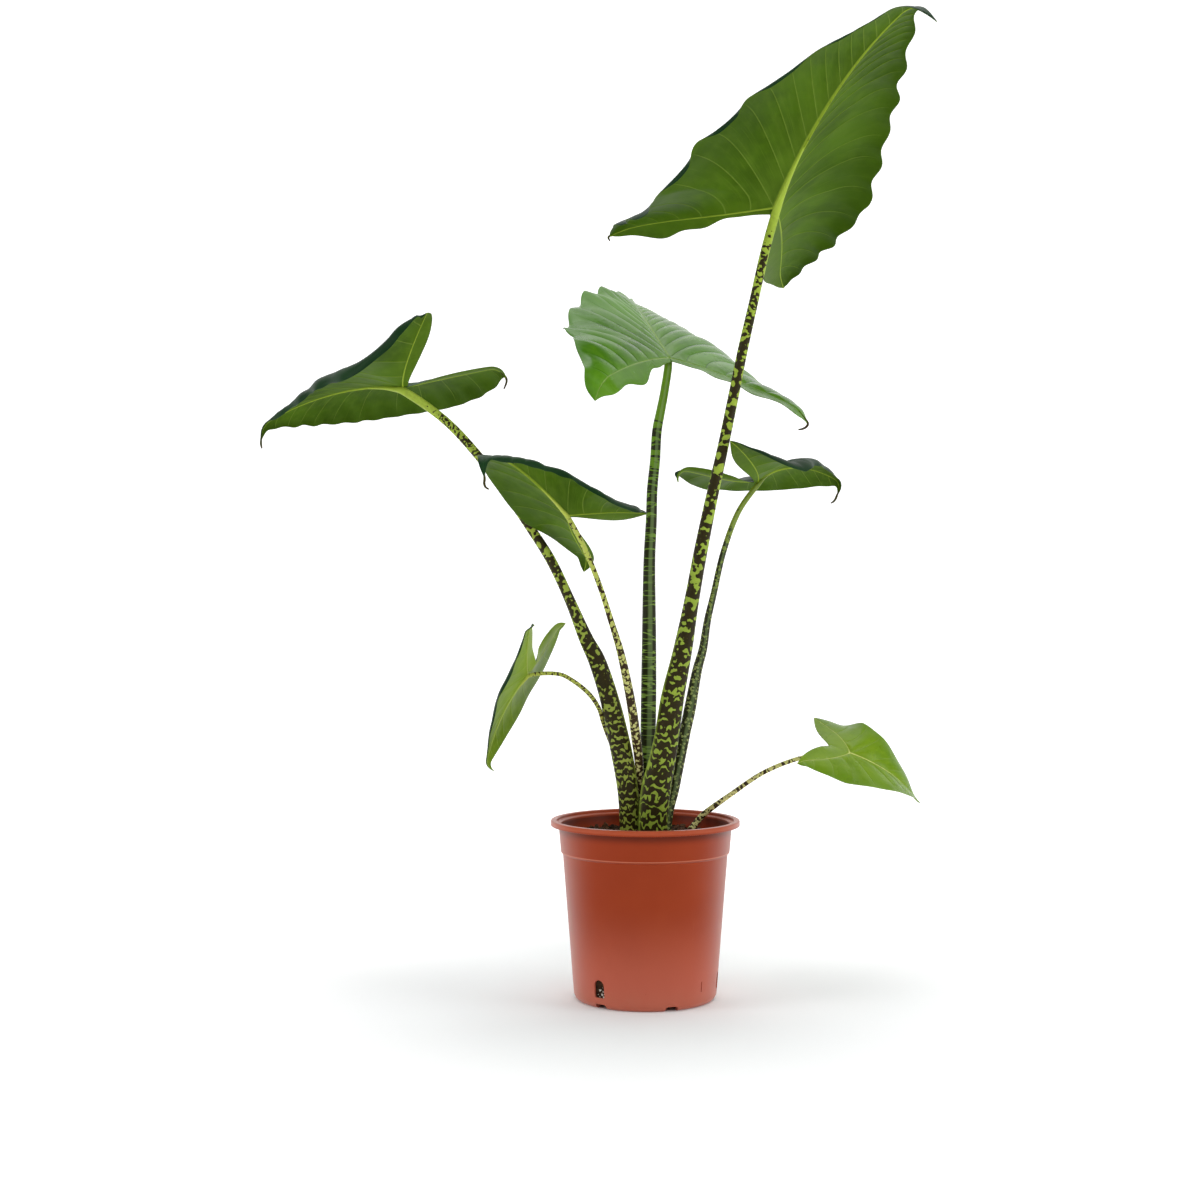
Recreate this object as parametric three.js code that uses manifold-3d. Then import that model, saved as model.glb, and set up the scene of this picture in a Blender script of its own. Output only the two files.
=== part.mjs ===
// Potted alocasia zebrina: moulded pot, potting mix, corm, seven leaf stalks and seven arrow-shaped blades.
// Millimetres, +Z up, the origin at the centre of the pot's underside, the front towards -Y.
import * as THREE from "three";
import Module from "manifold-3d";

const wasm = await Module();
wasm.setup();

// Pot
const POT_HEIGHT = 180;
const RIM_R = 95;
const RIM_INNER_R = 89;
const RIM_SKIN = 1.8;
const LEDGE_Z = 177;
const LEDGE_R = 87;
const LIP_DROP = 5.6;
const LIP_WALL = 1.7;
const WALL = 2;
const COLLAR_TOP_R = 87.2;
const COLLAR_FOOT_R = 84.8;
const STEP_Z = 147.7;
const BODY_TOP_R = 82.9;
const BODY_FOOT_R = 72;
const FOOT_R = 66.5;
const FOOT_RING = 2.6;
const FLOOR_Z = 7;
const PAD_R = 20;
const POT_STEPS = 48;
const SLOTS = 3;
const NOTCHES = 6;
const SLOT_TURN = -39.5;
const SLOT_WIDTH = 12;
const SLOT_BOTTOM = 11.3;
const SLOT_TOP = 29;
const NOTCH_WIDTH = 13;
const NOTCH_TOP = 5;
const DRAIN_R = 44;
const DRAIN_LENGTH = 26;
const DRAIN_WIDTH = 5;

// Potting mix and corm
const SOIL_Z = 164;
const SOIL_GAP = 0.35;
const CORM_TOP = 149;
const CORM_R = 31;
const CORM_HEIGHT = 34;

// Blades and stalks
const BLADE = 0.9;
const SEAT_GAP = 0.35;
const TOP_GAP = 0.6;
const TOP_TAPER = 0.7;
const TOP_SHORT = 3;

const DEG = Math.PI / 180;
const lerp = (a, b, t) => a + (b - a) * t;
const smooth = (x) => {
  const c = Math.min(1, Math.max(0, x));
  return c * c * (3 - 2 * c);
};
const V = (x, y, z) => new THREE.Vector3(x, y, z);
// a*s + b*t + c*u, the sum of scaled vectors
const sum = (...terms) => {
  const out = V(0, 0, 0);
  for (let i = 0; i < terms.length; i += 2) out.addScaledVector(terms[i], terms[i + 1]);
  return out;
};
const turned = (a, b, degrees) => [
  sum(a, Math.cos(degrees * DEG), b, Math.sin(degrees * DEG)),
  sum(b, Math.cos(degrees * DEG), a, -Math.sin(degrees * DEG)),
];

function manifold(geometry) {
  const g = geometry.index ? geometry.toNonIndexed() : geometry;
  const p = g.getAttribute("position");
  const ids = new Map();
  const verts = [];
  const tris = [];
  for (let i = 0; i < p.count; i++) {
    const q = [p.getX(i), p.getY(i), p.getZ(i)];
    const key = q.map((c) => Math.round(c * 500)).join();
    if (!ids.has(key)) {
      ids.set(key, verts.length / 3);
      verts.push(...q);
    }
    tris.push(ids.get(key));
  }
  const kept = [];
  for (let i = 0; i < tris.length; i += 3) {
    const [a, b, c] = tris.slice(i, i + 3);
    if (a !== b && b !== c && a !== c) kept.push(a, b, c);
  }
  return new wasm.Manifold(
    new wasm.Mesh({
      numProp: 3,
      vertProperties: new Float32Array(verts),
      triVerts: new Uint32Array(kept),
    }),
  );
}

function geometryOf(solid) {
  const m = solid.getMesh();
  const g = new THREE.BufferGeometry();
  const xyz = new Float32Array((m.vertProperties.length / m.numProp) * 3);
  for (let i = 0; i < xyz.length / 3; i++)
    xyz.set(m.vertProperties.subarray(i * m.numProp, i * m.numProp + 3), i * 3);
  g.setAttribute("position", new THREE.BufferAttribute(xyz, 3));
  g.setIndex(new THREE.BufferAttribute(m.triVerts, 1));
  g.computeVertexNormals();
  return g;
}

const largest = (solid) => solid.decompose().sort((a, b) => b.volume() - a.volume())[0];

// A profile of [radius, height] points turned about Z.
function lathe(points, steps) {
  const g = new THREE.LatheGeometry(
    points.map(([r, z]) => new THREE.Vector2(r, z)),
    steps,
  );
  return manifold(g.rotateX(Math.PI / 2));
}

function box(x, y, z, at, turn = 0) {
  const g = new THREE.BoxGeometry(x, y, z).translate(...at).rotateZ(turn * DEG);
  return manifold(g);
}

function cylinder(r, length, at, lie, turn = 0, sides = 20) {
  const g = new THREE.CylinderGeometry(r, r, length, sides);
  if (!lie) g.rotateX(Math.PI / 2);
  return manifold(g.translate(...at).rotateZ(turn * DEG));
}

function makePot() {
  const pad = PAD_R;
  const inner = (r) => r - WALL;
  const profile = [
    [0, 0],
    [pad, 0],
    [pad + 4, FLOOR_Z],
    [FOOT_R - FOOT_RING - 1, FLOOR_Z],
    [FOOT_R - FOOT_RING, 0],
    [FOOT_R, 0],
    [FOOT_R + 3.2, 1.6],
    [BODY_FOOT_R - 0.4, 5],
    [BODY_FOOT_R, 8],
    [BODY_TOP_R, STEP_Z - 1.6],
    [COLLAR_FOOT_R, STEP_Z],
    [COLLAR_TOP_R, LEDGE_Z - RIM_SKIN],
    [RIM_INNER_R + RIM_SKIN, LEDGE_Z - RIM_SKIN],
    [RIM_INNER_R + RIM_SKIN, POT_HEIGHT - RIM_SKIN],
    [RIM_R - LIP_WALL, POT_HEIGHT - RIM_SKIN],
    [RIM_R - LIP_WALL, POT_HEIGHT - LIP_DROP],
    [RIM_R, POT_HEIGHT - LIP_DROP],
    [RIM_R, POT_HEIGHT - 1.4],
    [RIM_R - 1.2, POT_HEIGHT],
    [RIM_INNER_R + 0.8, POT_HEIGHT],
    [RIM_INNER_R, POT_HEIGHT - 1],
    [RIM_INNER_R, LEDGE_Z],
    [LEDGE_R, LEDGE_Z],
    [inner(COLLAR_TOP_R), LEDGE_Z - 1.2],
    [inner(COLLAR_FOOT_R), STEP_Z],
    [inner(BODY_TOP_R), STEP_Z - 2.4],
    [inner(BODY_FOOT_R), FLOOR_Z + WALL],
    [pad + 2.6, FLOOR_Z + WALL],
    [pad - 1.2, WALL],
    [0, WALL],
  ];
  let pot = lathe(profile, POT_STEPS);
  const straight = SLOT_TOP - SLOT_WIDTH / 2 - SLOT_BOTTOM;
  const middle = SLOT_BOTTOM + straight / 2;
  for (let i = 0; i < SLOTS; i++) {
    const turn = SLOT_TURN + (i * 360) / SLOTS;
    pot = pot
      .subtract(box(SLOT_WIDTH, 14, straight, [0, -BODY_FOOT_R, middle], turn))
      .subtract(cylinder(SLOT_WIDTH / 2, 14, [0, -BODY_FOOT_R, SLOT_TOP - SLOT_WIDTH / 2], true, turn));
  }
  for (let i = 0; i < NOTCHES; i++) {
    const turn = SLOT_TURN + (i * 360) / NOTCHES;
    pot = pot
      .subtract(box(NOTCH_WIDTH, 16, NOTCH_TOP + 2, [0, -FOOT_R, NOTCH_TOP / 2 - 1], turn))
      .subtract(box(DRAIN_WIDTH, DRAIN_LENGTH, 12, [0, -DRAIN_R, FLOOR_Z], turn + 180 / NOTCHES));
  }
  return pot;
}

// The mix: a shallow mound with small lumps, level at its edge.
function soilTop(r, angle) {
  const mound = 5 * (1 - smooth(r / 60));
  const lumps = Math.sin(r * 0.21 + 3 * angle) * Math.cos(5 * angle - r * 0.11);
  return SOIL_Z + mound + 1.1 * lumps * smooth(r / 8);
}

function makeSoil(holes) {
  const steps = 40;
  const wall = (z) => {
    if (z > STEP_Z - 2.4) return COLLAR_FOOT_R - WALL - SOIL_GAP;
    return lerp(BODY_FOOT_R, BODY_TOP_R, (z - 8) / (STEP_Z - 10)) - WALL - SOIL_GAP - 0.1;
  };
  const floor = FLOOR_Z + WALL + SOIL_GAP;
  const rings = [
    [PAD_R - 1.6, WALL + SOIL_GAP],
    [PAD_R + 2.2, floor],
    [wall(floor), floor],
    [wall(STEP_Z - 3), STEP_Z - 3],
    [wall(STEP_Z), STEP_Z + 0.4],
    [wall(STEP_Z) + 0.6, SOIL_Z - 1],
    [70, null],
    [54, null],
    [38, null],
    [20, null],
  ];
  const at = (ring, step) => {
    const a = (2 * Math.PI * step) / steps;
    const z = ring[1] === null ? soilTop(ring[0], a) : ring[1];
    return V(ring[0] * Math.cos(a), ring[0] * Math.sin(a), z);
  };
  const tris = [];
  const bottom = V(0, 0, WALL + SOIL_GAP);
  const top = V(0, 0, soilTop(0, 0));
  for (let s = 0; s < steps; s++) {
    const n = (s + 1) % steps;
    tris.push(bottom, at(rings[0], n), at(rings[0], s));
    for (let i = 0; i + 1 < rings.length; i++) {
      const [a, b, c, d] = [at(rings[i], s), at(rings[i], n), at(rings[i + 1], n), at(rings[i + 1], s)];
      tris.push(a, b, c, a, c, d);
    }
    const last = rings[rings.length - 1];
    tris.push(top, at(last, s), at(last, n));
  }
  let soil = manifold(new THREE.BufferGeometry().setFromPoints(tris));
  for (const hole of holes) soil = soil.subtract(hole);
  return largest(soil);
}

function makeCorm(grow = 0) {
  const foot = CORM_TOP - CORM_HEIGHT;
  return lathe(
    [
      [0, foot - grow],
      [CORM_R * 0.5 + grow, foot - grow],
      [CORM_R * 0.9 + grow, foot + 8],
      [CORM_R + grow, foot + 18],
      [CORM_R * 0.94 + grow, CORM_TOP - 4],
      [CORM_R * 0.86 + grow, CORM_TOP + grow],
      [0, CORM_TOP + grow],
    ],
    18,
  );
}

// Blade outline in the flat, for a blade of length 1 from the stalk's seat (0, 0) to the apex (0, 1).
// margin: apex to lobe tip; vein: seat to lobe tip; inner: sinus to lobe tip. x grows away from the midrib.
function flatBlade(width, lobe, sinus, scoop = 0.12) {
  const P = (x, y) => new THREE.Vector2(x, y);
  const tip = P(0.44 * width * lobe, -0.44 * lobe);
  const widest = P(0.45 * width, -0.1);
  const margin = new THREE.CurvePath();
  margin.add(
    new THREE.CubicBezierCurve(P(0, 1), P(0.06 * width, 0.78), P(0.42 * width, 0.24), widest),
  );
  margin.add(
    new THREE.CubicBezierCurve(
      widest,
      P(0.465 * width, -0.26),
      P(tip.x * 1.08, tip.y * 0.8),
      tip,
    ),
  );
  const vein = new THREE.QuadraticBezierCurve(P(0, 0), P(0.2 * width * lobe, -0.13 * lobe), tip);
  const inner = new THREE.CubicBezierCurve(
    P(0, -sinus),
    P(scoop * width * lobe, -0.09 * lobe - sinus),
    P(0.2 * width * lobe, -0.38 * lobe),
    tip,
  );
  return { margin, vein, inner, tip };
}

// The share of the margin, counted from the apex, that the midrib's side veins feed.
const FRONT_SHARE = 0.68;
// Where the blade's columns lie between a vein (0) and the margin (1).
const COLUMNS = [0, 0.07, 0.42, 0.72, 0.9, 1];
const INNER_COLUMNS = [0, 0.5, 1];

// One row of a blade: from a vein's point out along its chord, curling by cup, roll and lip as it goes.
// The margin ripples: wave lifts it, scallop pushes it out, and lip rolls it under between the crests.
function row(leaf, side, at, chord, bulge, normal, share, columns, cup, isInner, frill = 0) {
  const length = chord.length();
  const flat = length > 1e-9 ? sum(chord, 1 / length) : V(0, 0, 0);
  const beat = 2 * Math.PI * (side.waves * share + side.quicken * share ** 2) + side.phase;
  const ripple = Math.sin(beat) * (0.78 + 0.22 * Math.sin(0.37 * beat + 1));
  const calm = smooth(share / 0.12) * smooth((1 - share) / 0.08);
  const wave = (side.wave / leaf.length) * ripple * calm;
  const scallop = (side.scallop / leaf.length) * ripple * calm;
  const lip = side.lip * (0.5 - 0.5 * ripple) * smooth(share / 0.06) * smooth((1 - share) / 0.2);
  const steps = 120;
  const out = [];
  let along = 0;
  let up = 0;
  let last = [1, 0];
  let j = 0;
  for (let i = 0; i <= steps; i++) {
    const t = i / steps;
    const rolled = side.roll * smooth((t - 0.72) / 0.28) + lip * smooth((t - 0.9) / 0.1);
    const curl = (cup * t + (isInner ? 0 : rolled)) * DEG;
    const now = [Math.cos(curl), Math.sin(curl)];
    if (i > 0) {
      along += (now[0] + last[0]) / (2 * steps);
      up += (now[1] + last[1]) / (2 * steps);
    }
    last = now;
    while (j < columns.length && columns[j] <= t + 1e-9) {
      const point = sum(at, 1, chord, along, normal, up * length);
      if (isInner) {
        point.addScaledVector(flat, frill * t ** 2);
      } else {
        const local = sum(normal, now[0], flat, -now[1]);
        const ahead = sum(flat, now[0], normal, now[1]);
        point.addScaledVector(bulge, 0.2 * t * (1 - t));
        point.addScaledVector(local, wave * t ** 2.5);
        point.addScaledVector(ahead, scallop * t ** 4);
      }
      out.push(point);
      j++;
    }
  }
  return out;
}

// One half of a blade, as three grids of points in millimetres.
function halfBlade(leaf, sign, frontRows, lobeRows) {
  const side = sign > 0 ? leaf.right : leaf.left;
  const { margin, vein, inner, tip } = flatBlade(leaf.width, leaf.lobe, leaf.sinus, side.scoop);
  const [heading, climb] = [leaf.heading * DEG, leaf.climb * DEG];
  const d = V(
    Math.cos(climb) * Math.cos(heading),
    Math.cos(climb) * Math.sin(heading),
    Math.sin(climb),
  );
  const level = sum(V(0, 0, 1), 1, d, -d.z).normalize();
  const n = turned(level, d.clone().cross(level), leaf.roll)[0];
  const r = d.clone().cross(n);

  // Midrib frames from the seat to the apex.
  const steps = 160;
  const spine = [];
  const point = V(0, 0, 0);
  for (let i = 0; i <= steps; i++) {
    const q = i / steps;
    const [ahead, across] = turned(d, r, leaf.sway * q);
    const arch = leaf.bend * q + leaf.hook * smooth((q - 0.84) / 0.16);
    const [forward, upper] = turned(ahead, n, arch);
    if (i > 0) point.addScaledVector(sum(forward, 0.5, spine[i - 1].forward, 0.5), 1 / steps);
    spine.push({ at: point.clone(), forward, upper, across });
  }

  // Lobe frames: u runs to the lobe's tip, v across, w up. They turn by the lobe's lift and twist, from a
  // little ahead of the seat (b below 0, along the midrib) to the lobe's tip (b = 1, along its own vein).
  const [out0, w0] = turned(sum(r, sign), n, side.fold);
  const size = tip.length();
  const [cu, cv] = [tip.x / size, tip.y / size];
  const u0 = sum(out0, cu, d, cv);
  const v0 = sum(out0, -cv, d, cu);
  const frameAt = (b) => {
    const turn = smooth((b + 0.3) / 0.8);
    const [u, w1] = turned(u0, w0, side.pitch * turn + side.hook * smooth((b - 0.78) / 0.22));
    const [v, w] = turned(v0, w1, side.twist * turn);
    return { u, v, w };
  };
  const intoFrame = (f, x, y) => sum(f.u, x * cu + y * cv, f.v, -x * cv + y * cu);
  const turnedInto = (f, x) => sum(f.u, x.dot(u0), f.v, x.dot(v0), f.w, x.dot(w0));

  const front = [];
  for (let i = 0; i <= frontRows; i++) {
    const a = i / frontRows;
    const q = 1 - a;
    const s = spine[Math.round(q * steps)];
    const fold = lerp(side.fold, side.foldTip, q);
    const [out, upper] = turned(sum(s.across, sign), s.upper, fold);
    const share = FRONT_SHARE * a ** 1.08;
    const m = margin.getPoint(share);
    m.y -= q;
    const here = frameAt(-q);
    const chord = turnedInto(here, sum(out, m.x, s.forward, m.y));
    const bulge = turnedInto(here, sum(out, -m.y, s.forward, m.x));
    const normal = turnedInto(here, upper);
    front.push(row(leaf, side, s.at, chord, bulge, normal, share, COLUMNS, side.cup, false));
  }

  const lobe = [];
  const back = [];
  const at = V(0, 0, 0);
  const fine = 120;
  let [f, p] = [frameAt(0), vein.getPointAt(0)];
  for (let i = 0, k = 0; i <= fine; i++) {
    const b = i / fine;
    const [g, q] = [frameAt(b), vein.getPointAt(b)];
    if (i > 0) {
      at.addScaledVector(intoFrame(f, q.x - p.x, q.y - p.y), 0.5);
      at.addScaledVector(intoFrame(g, q.x - p.x, q.y - p.y), 0.5);
    }
    [f, p] = [g, q];
    if (k <= lobeRows && i >= Math.round((k * fine) / lobeRows)) {
      const share = FRONT_SHARE + (1 - FRONT_SHARE) * b;
      const m = margin.getPoint(share).sub(q);
      const e = inner.getPointAt(b).sub(q);
      const chord = intoFrame(f, m.x, m.y);
      const bulge = intoFrame(f, -m.y, m.x);
      const edge = intoFrame(f, e.x, e.y);
      const curl = side.inner * smooth(b / 0.3);
      const frill = (side.frill / leaf.length) * Math.sin(2 * Math.PI * side.frills * b + 0.6);
      const calm = smooth((b - 0.12) / 0.15) * smooth((1 - b) / 0.12);
      lobe.push(row(leaf, side, at, chord, bulge, f.w, share, COLUMNS, side.cup, false));
      back.push(row(leaf, side, at, edge, bulge, f.w, 1, INNER_COLUMNS, curl, true, frill * calm));
      k++;
    }
  }
  const seat = V(...leaf.seat);
  const place = (grid) => grid.map((line) => line.map((q) => sum(q, leaf.length, seat, 1)));
  return { front: place(front), lobe: place(lobe), back: place(back) };
}

// A blade as one solid: both halves joined along the midrib, thickened, with ribs on the underside.
function makeBlade(leaf, thick = BLADE) {
  const [frontRows, lobeRows] = leaf.rows;
  const ids = new Map();
  const points = [];
  const ribs = [];
  const idOf = (p, ribHeight) => {
    const key = [p.x, p.y, p.z].map((c) => Math.round(c * 200)).join();
    if (!ids.has(key)) {
      ids.set(key, points.length);
      points.push(p);
      ribs.push(0);
    }
    const id = ids.get(key);
    ribs[id] = Math.max(ribs[id], ribHeight);
    return id;
  };
  const tris = [];
  const tall = 1.7 * Math.sqrt(leaf.length / 290);
  for (const sign of [1, -1]) {
    const half = halfBlade(leaf, sign, frontRows, lobeRows);
    for (const [name, grid] of Object.entries(half)) {
      const flip = (name === "back") !== sign < 0;
      const veined = (i) => {
        if (name === "front") return tall * smooth(i / 3) * (i / (grid.length - 1)) ** 0.6;
        return 0.8 * tall * (1 - i / (grid.length - 1)) + 0.2 * tall * (i === 0);
      };
      const grow = grid.map((line, i) => line.map((p, j) => idOf(p, j === 0 ? veined(i) : 0)));
      for (let i = 0; i + 1 < grow.length; i++)
        for (let j = 0; j + 1 < grow[i].length; j++) {
          const [a, b, c, e] = [grow[i][j], grow[i + 1][j], grow[i + 1][j + 1], grow[i][j + 1]];
          const faces = (i + j) % 2 ? [[a, b, c], [a, c, e]] : [[a, b, e], [b, c, e]];
          for (const t of faces) {
            if (new Set(t).size < 3) continue;
            tris.push(flip ? [t[0], t[2], t[1]] : t);
          }
        }
    }
  }
  const normals = points.map(() => V(0, 0, 0));
  for (const [a, b, c] of tris) {
    const n = sum(points[b], 1, points[a], -1).cross(sum(points[c], 1, points[a], -1));
    for (const i of [a, b, c]) normals[i].add(n);
  }
  const upper = points.map((p, i) => sum(p, 1, normals[i].normalize(), thick / 2));
  const lower = points.map((p, i) => sum(p, 1, normals[i], -thick / 2 - ribs[i]));
  const out = [];
  const open = new Map();
  for (const [a, b, c] of tris) {
    out.push(upper[a], upper[b], upper[c], lower[a], lower[c], lower[b]);
    for (const [i, j] of [[a, b], [b, c], [c, a]]) {
      if (open.has(j + "," + i)) open.delete(j + "," + i);
      else open.set(i + "," + j, [i, j]);
    }
  }
  for (const [i, j] of open.values())
    out.push(upper[j], upper[i], lower[i], upper[j], lower[i], lower[j]);
  return manifold(new THREE.BufferGeometry().setFromPoints(out));
}

// A stalk: rings of eight along a curve through [x, y, z, half width] points, flattened at its foot.
const RING = 8;
function makeStalk(stalk, grow = 0) {
  const curve = new THREE.CatmullRomCurve3(
    stalk.path.map(([x, y, z]) => V(x, y, z)),
    false,
    "centripetal",
  );
  const last = stalk.path.length - 1;
  const rings = [];
  const per = stalk.fine ? 2 : 1;
  for (let i = 0; i <= last * per; i++) {
    const u = i / (last * per);
    const k = Math.min(last - 1, Math.floor(u * last));
    const half = lerp(stalk.path[k][3], stalk.path[k + 1][3], u * last - k) + grow;
    const deep = half * lerp(stalk.flat, 1, smooth(u / 0.5)) + grow * (1 - stalk.flat);
    const along = curve.getTangent(u);
    const side = along.clone().cross(V(0, 1, 0)).normalize();
    const back = side.clone().cross(along);
    let at = curve.getPoint(u);
    if (grow && i === 0) at = sum(at, 1, along, -grow);
    const ring = [];
    for (let s = 0; s < RING; s++) {
      const a = (2 * Math.PI * s) / RING;
      ring.push(sum(at, 1, side, half * Math.cos(a), back, deep * Math.sin(a)));
    }
    rings.push({ at, ring });
  }
  const tris = [];
  const end = rings[rings.length - 1];
  for (let s = 0; s < RING; s++) {
    const n = (s + 1) % RING;
    tris.push(rings[0].at, rings[0].ring[s], rings[0].ring[n]);
    tris.push(end.at, end.ring[n], end.ring[s]);
    for (let i = 0; i + 1 < rings.length; i++) {
      const [a, b] = [rings[i].ring, rings[i + 1].ring];
      tris.push(a[s], b[s], b[n], a[s], b[n], a[n]);
    }
  }
  const solid = manifold(new THREE.BufferGeometry().setFromPoints(tris));
  if (solid.volume() > 0) return solid;
  for (let i = 0; i < tris.length; i += 3) [tris[i + 1], tris[i + 2]] = [tris[i + 2], tris[i + 1]];
  return manifold(new THREE.BufferGeometry().setFromPoints(tris));
}

// Seven blades. seat: where the stalk meets the blade; heading and climb: the midrib's direction there;
// roll about it; bend, hook and sway: how it goes on; each half's fold up from the midrib, its curl towards
// the margin (cup, roll), the way its lobe lifts, twists and hooks, and how its inner edge curls (inner)
// and hollows (scoop). The margin's ripple: wave lifts it and scallop pushes it out by millimetres, waves
// counts the crests, quicken adds more of them towards the lobe, phase shifts them and lip rolls the
// hollows under. frill and frills: height and count of the inner edge's ripples. Angles in degrees.
const LEAVES = [
  {
    seat: [126.3, -30.0, 788.6],
    length: 322, width: 0.95, lobe: 1.13, sinus: 0.03,
    heading: -64, climb: 46, roll: 21, bend: -35, hook: -66, sway: 21, rows: [32, 14],
    right: {
      fold: 48, foldTip: 47, cup: -52, roll: 9, pitch: 31, twist: -19, hook: -21, inner: -5, scoop: 0.2,
      wave: 1.4, scallop: 0.7, waves: 4.5, quicken: 2.8, phase: -0.3, lip: -130, frill: 3, frills: 3,
    },
    left: {
      fold: 21, foldTip: 1, cup: -49, roll: -28, pitch: -1, twist: -14, hook: -17, inner: -8, scoop: 0.12,
      wave: 2.4, scallop: 2.8, waves: 5.5, quicken: 5.5, phase: 0.9, lip: 0, frill: 1.5, frills: 3,
    },
  },
  {
    seat: [-241.2, -20.0, 612.6],
    length: 198, width: 1.12, lobe: 0.83, sinus: 0.03,
    heading: 143, climb: 7, roll: 7, bend: -39, hook: -63, sway: -14, rows: [20, 9],
    right: {
      fold: 28, foldTip: -24, cup: -55, roll: -20, pitch: 2, twist: -8, hook: -69, inner: 37, scoop: 0.12,
      wave: 1.5, scallop: 1.0, waves: 14, quicken: 0, phase: 0.5, lip: 0, frill: 0, frills: 0,
    },
    left: {
      fold: 20, foldTip: -9, cup: -34, roll: -67, pitch: 34, twist: -40, hook: -54, inner: -1, scoop: 0.12,
      wave: 1.5, scallop: 1.0, waves: 6, quicken: 0, phase: 1.2, lip: -60, frill: 0, frills: 0,
    },
  },
  {
    seat: [26.0, 50.0, 648.8],
    length: 286, width: 0.94, lobe: 0.97, sinus: 0.03,
    heading: 106, climb: 31, roll: 10, bend: -20, hook: 12, sway: 20, rows: [26, 12],
    right: {
      fold: 18, foldTip: 4, cup: -39, roll: -5, pitch: -7, twist: -10, hook: -37, inner: 16, scoop: 0.12,
      wave: 2.0, scallop: 0.8, waves: 6, quicken: 0, phase: 0.8, lip: 0, frill: 3, frills: 3.5,
    },
    left: {
      fold: 6, foldTip: 36, cup: -22, roll: 4, pitch: -2, twist: 18, hook: -94, inner: -3, scoop: 0.12,
      wave: 4.0, scallop: 2.4, waves: 7, quicken: 0, phase: 2.6, lip: -40, frill: 4, frills: 2.5,
    },
  },
  {
    seat: [-76.7, -60.0, 483.9],
    length: 181, width: 0.83, lobe: 0.98, sinus: 0.015,
    heading: -152, climb: 44, roll: 40, bend: -77, hook: -85, sway: -28, rows: [16, 8],
    right: {
      fold: 33, foldTip: 24, cup: -22, roll: -4, pitch: 10, twist: 7, hook: -76, inner: 36, scoop: 0.12,
      wave: 1.0, scallop: 1.0, waves: 5, quicken: 0, phase: 0.8, lip: 0, frill: 0, frills: 0,
    },
    left: {
      fold: 26, foldTip: 10, cup: -84, roll: -22, pitch: 32, twist: -23, hook: -8, inner: 15, scoop: 0.12,
      wave: 1.6, scallop: 1.0, waves: 6, quicken: 0, phase: 1.5, lip: -60, frill: 0, frills: 0,
    },
  },
  {
    seat: [116.3, 40.0, 522.0],
    length: 163, width: 0.95, lobe: 0.98, sinus: 0.04,
    heading: 57, climb: 25, roll: -11, bend: -54, hook: -108, sway: 12, rows: [16, 8],
    right: {
      fold: 35, foldTip: 16, cup: -65, roll: -31, pitch: 23, twist: -22, hook: 20, inner: 1, scoop: 0.12,
      wave: 1.2, scallop: 0.8, waves: 5, quicken: 0, phase: 1.0, lip: -40, frill: 0, frills: 0,
    },
    left: {
      fold: 16, foldTip: -58, cup: -31, roll: 0, pitch: 27, twist: -13, hook: -113, inner: 56, scoop: 0.12,
      wave: 1.3, scallop: 0.9, waves: 8, quicken: 0, phase: 2.0, lip: 0, frill: 0, frills: 0,
    },
  },
  {
    seat: [-117.6, -20.0, 326.8],
    length: 112, width: 1.13, lobe: 1.1, sinus: 0.13,
    heading: 167, climb: -50, roll: 3, bend: -31, hook: -75, sway: 6, rows: [12, 7],
    right: {
      fold: 13, foldTip: -26, cup: -20, roll: 7, pitch: 6, twist: -14, hook: -30, inner: 35, scoop: 0.12,
      wave: 0.8, scallop: 0.6, waves: 4, quicken: 0, phase: 1.0, lip: 0, frill: 0, frills: 0,
    },
    left: {
      fold: 14, foldTip: -8, cup: -12, roll: -34, pitch: 3, twist: -12, hook: -41, inner: 30, scoop: 0.12,
      wave: 0.6, scallop: 0.4, waves: 4, quicken: 0, phase: 1.0, lip: -60, frill: 0, frills: 0,
    },
  },
  {
    seat: [213.6, 60.0, 241.2],
    length: 107, width: 1.14, lobe: 1.08, sinus: 0.2,
    heading: -4, climb: -20, roll: 41, bend: -58, hook: 24, sway: -18, rows: [12, 7],
    right: {
      fold: 13, foldTip: 27, cup: -10, roll: 8, pitch: 5, twist: -3, hook: -24, inner: 12, scoop: 0.12,
      wave: 0.7, scallop: 0.6, waves: 5, quicken: 0, phase: 3.0, lip: 0, frill: 0, frills: 0,
    },
    left: {
      fold: 13, foldTip: 9, cup: -19, roll: 4, pitch: -35, twist: -1, hook: 5, inner: -1, scoop: 0.12,
      wave: 0.5, scallop: 0.4, waves: 4, quicken: 0, phase: 3.0, lip: 0, frill: 0, frills: 0,
    },
  },
];

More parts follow.
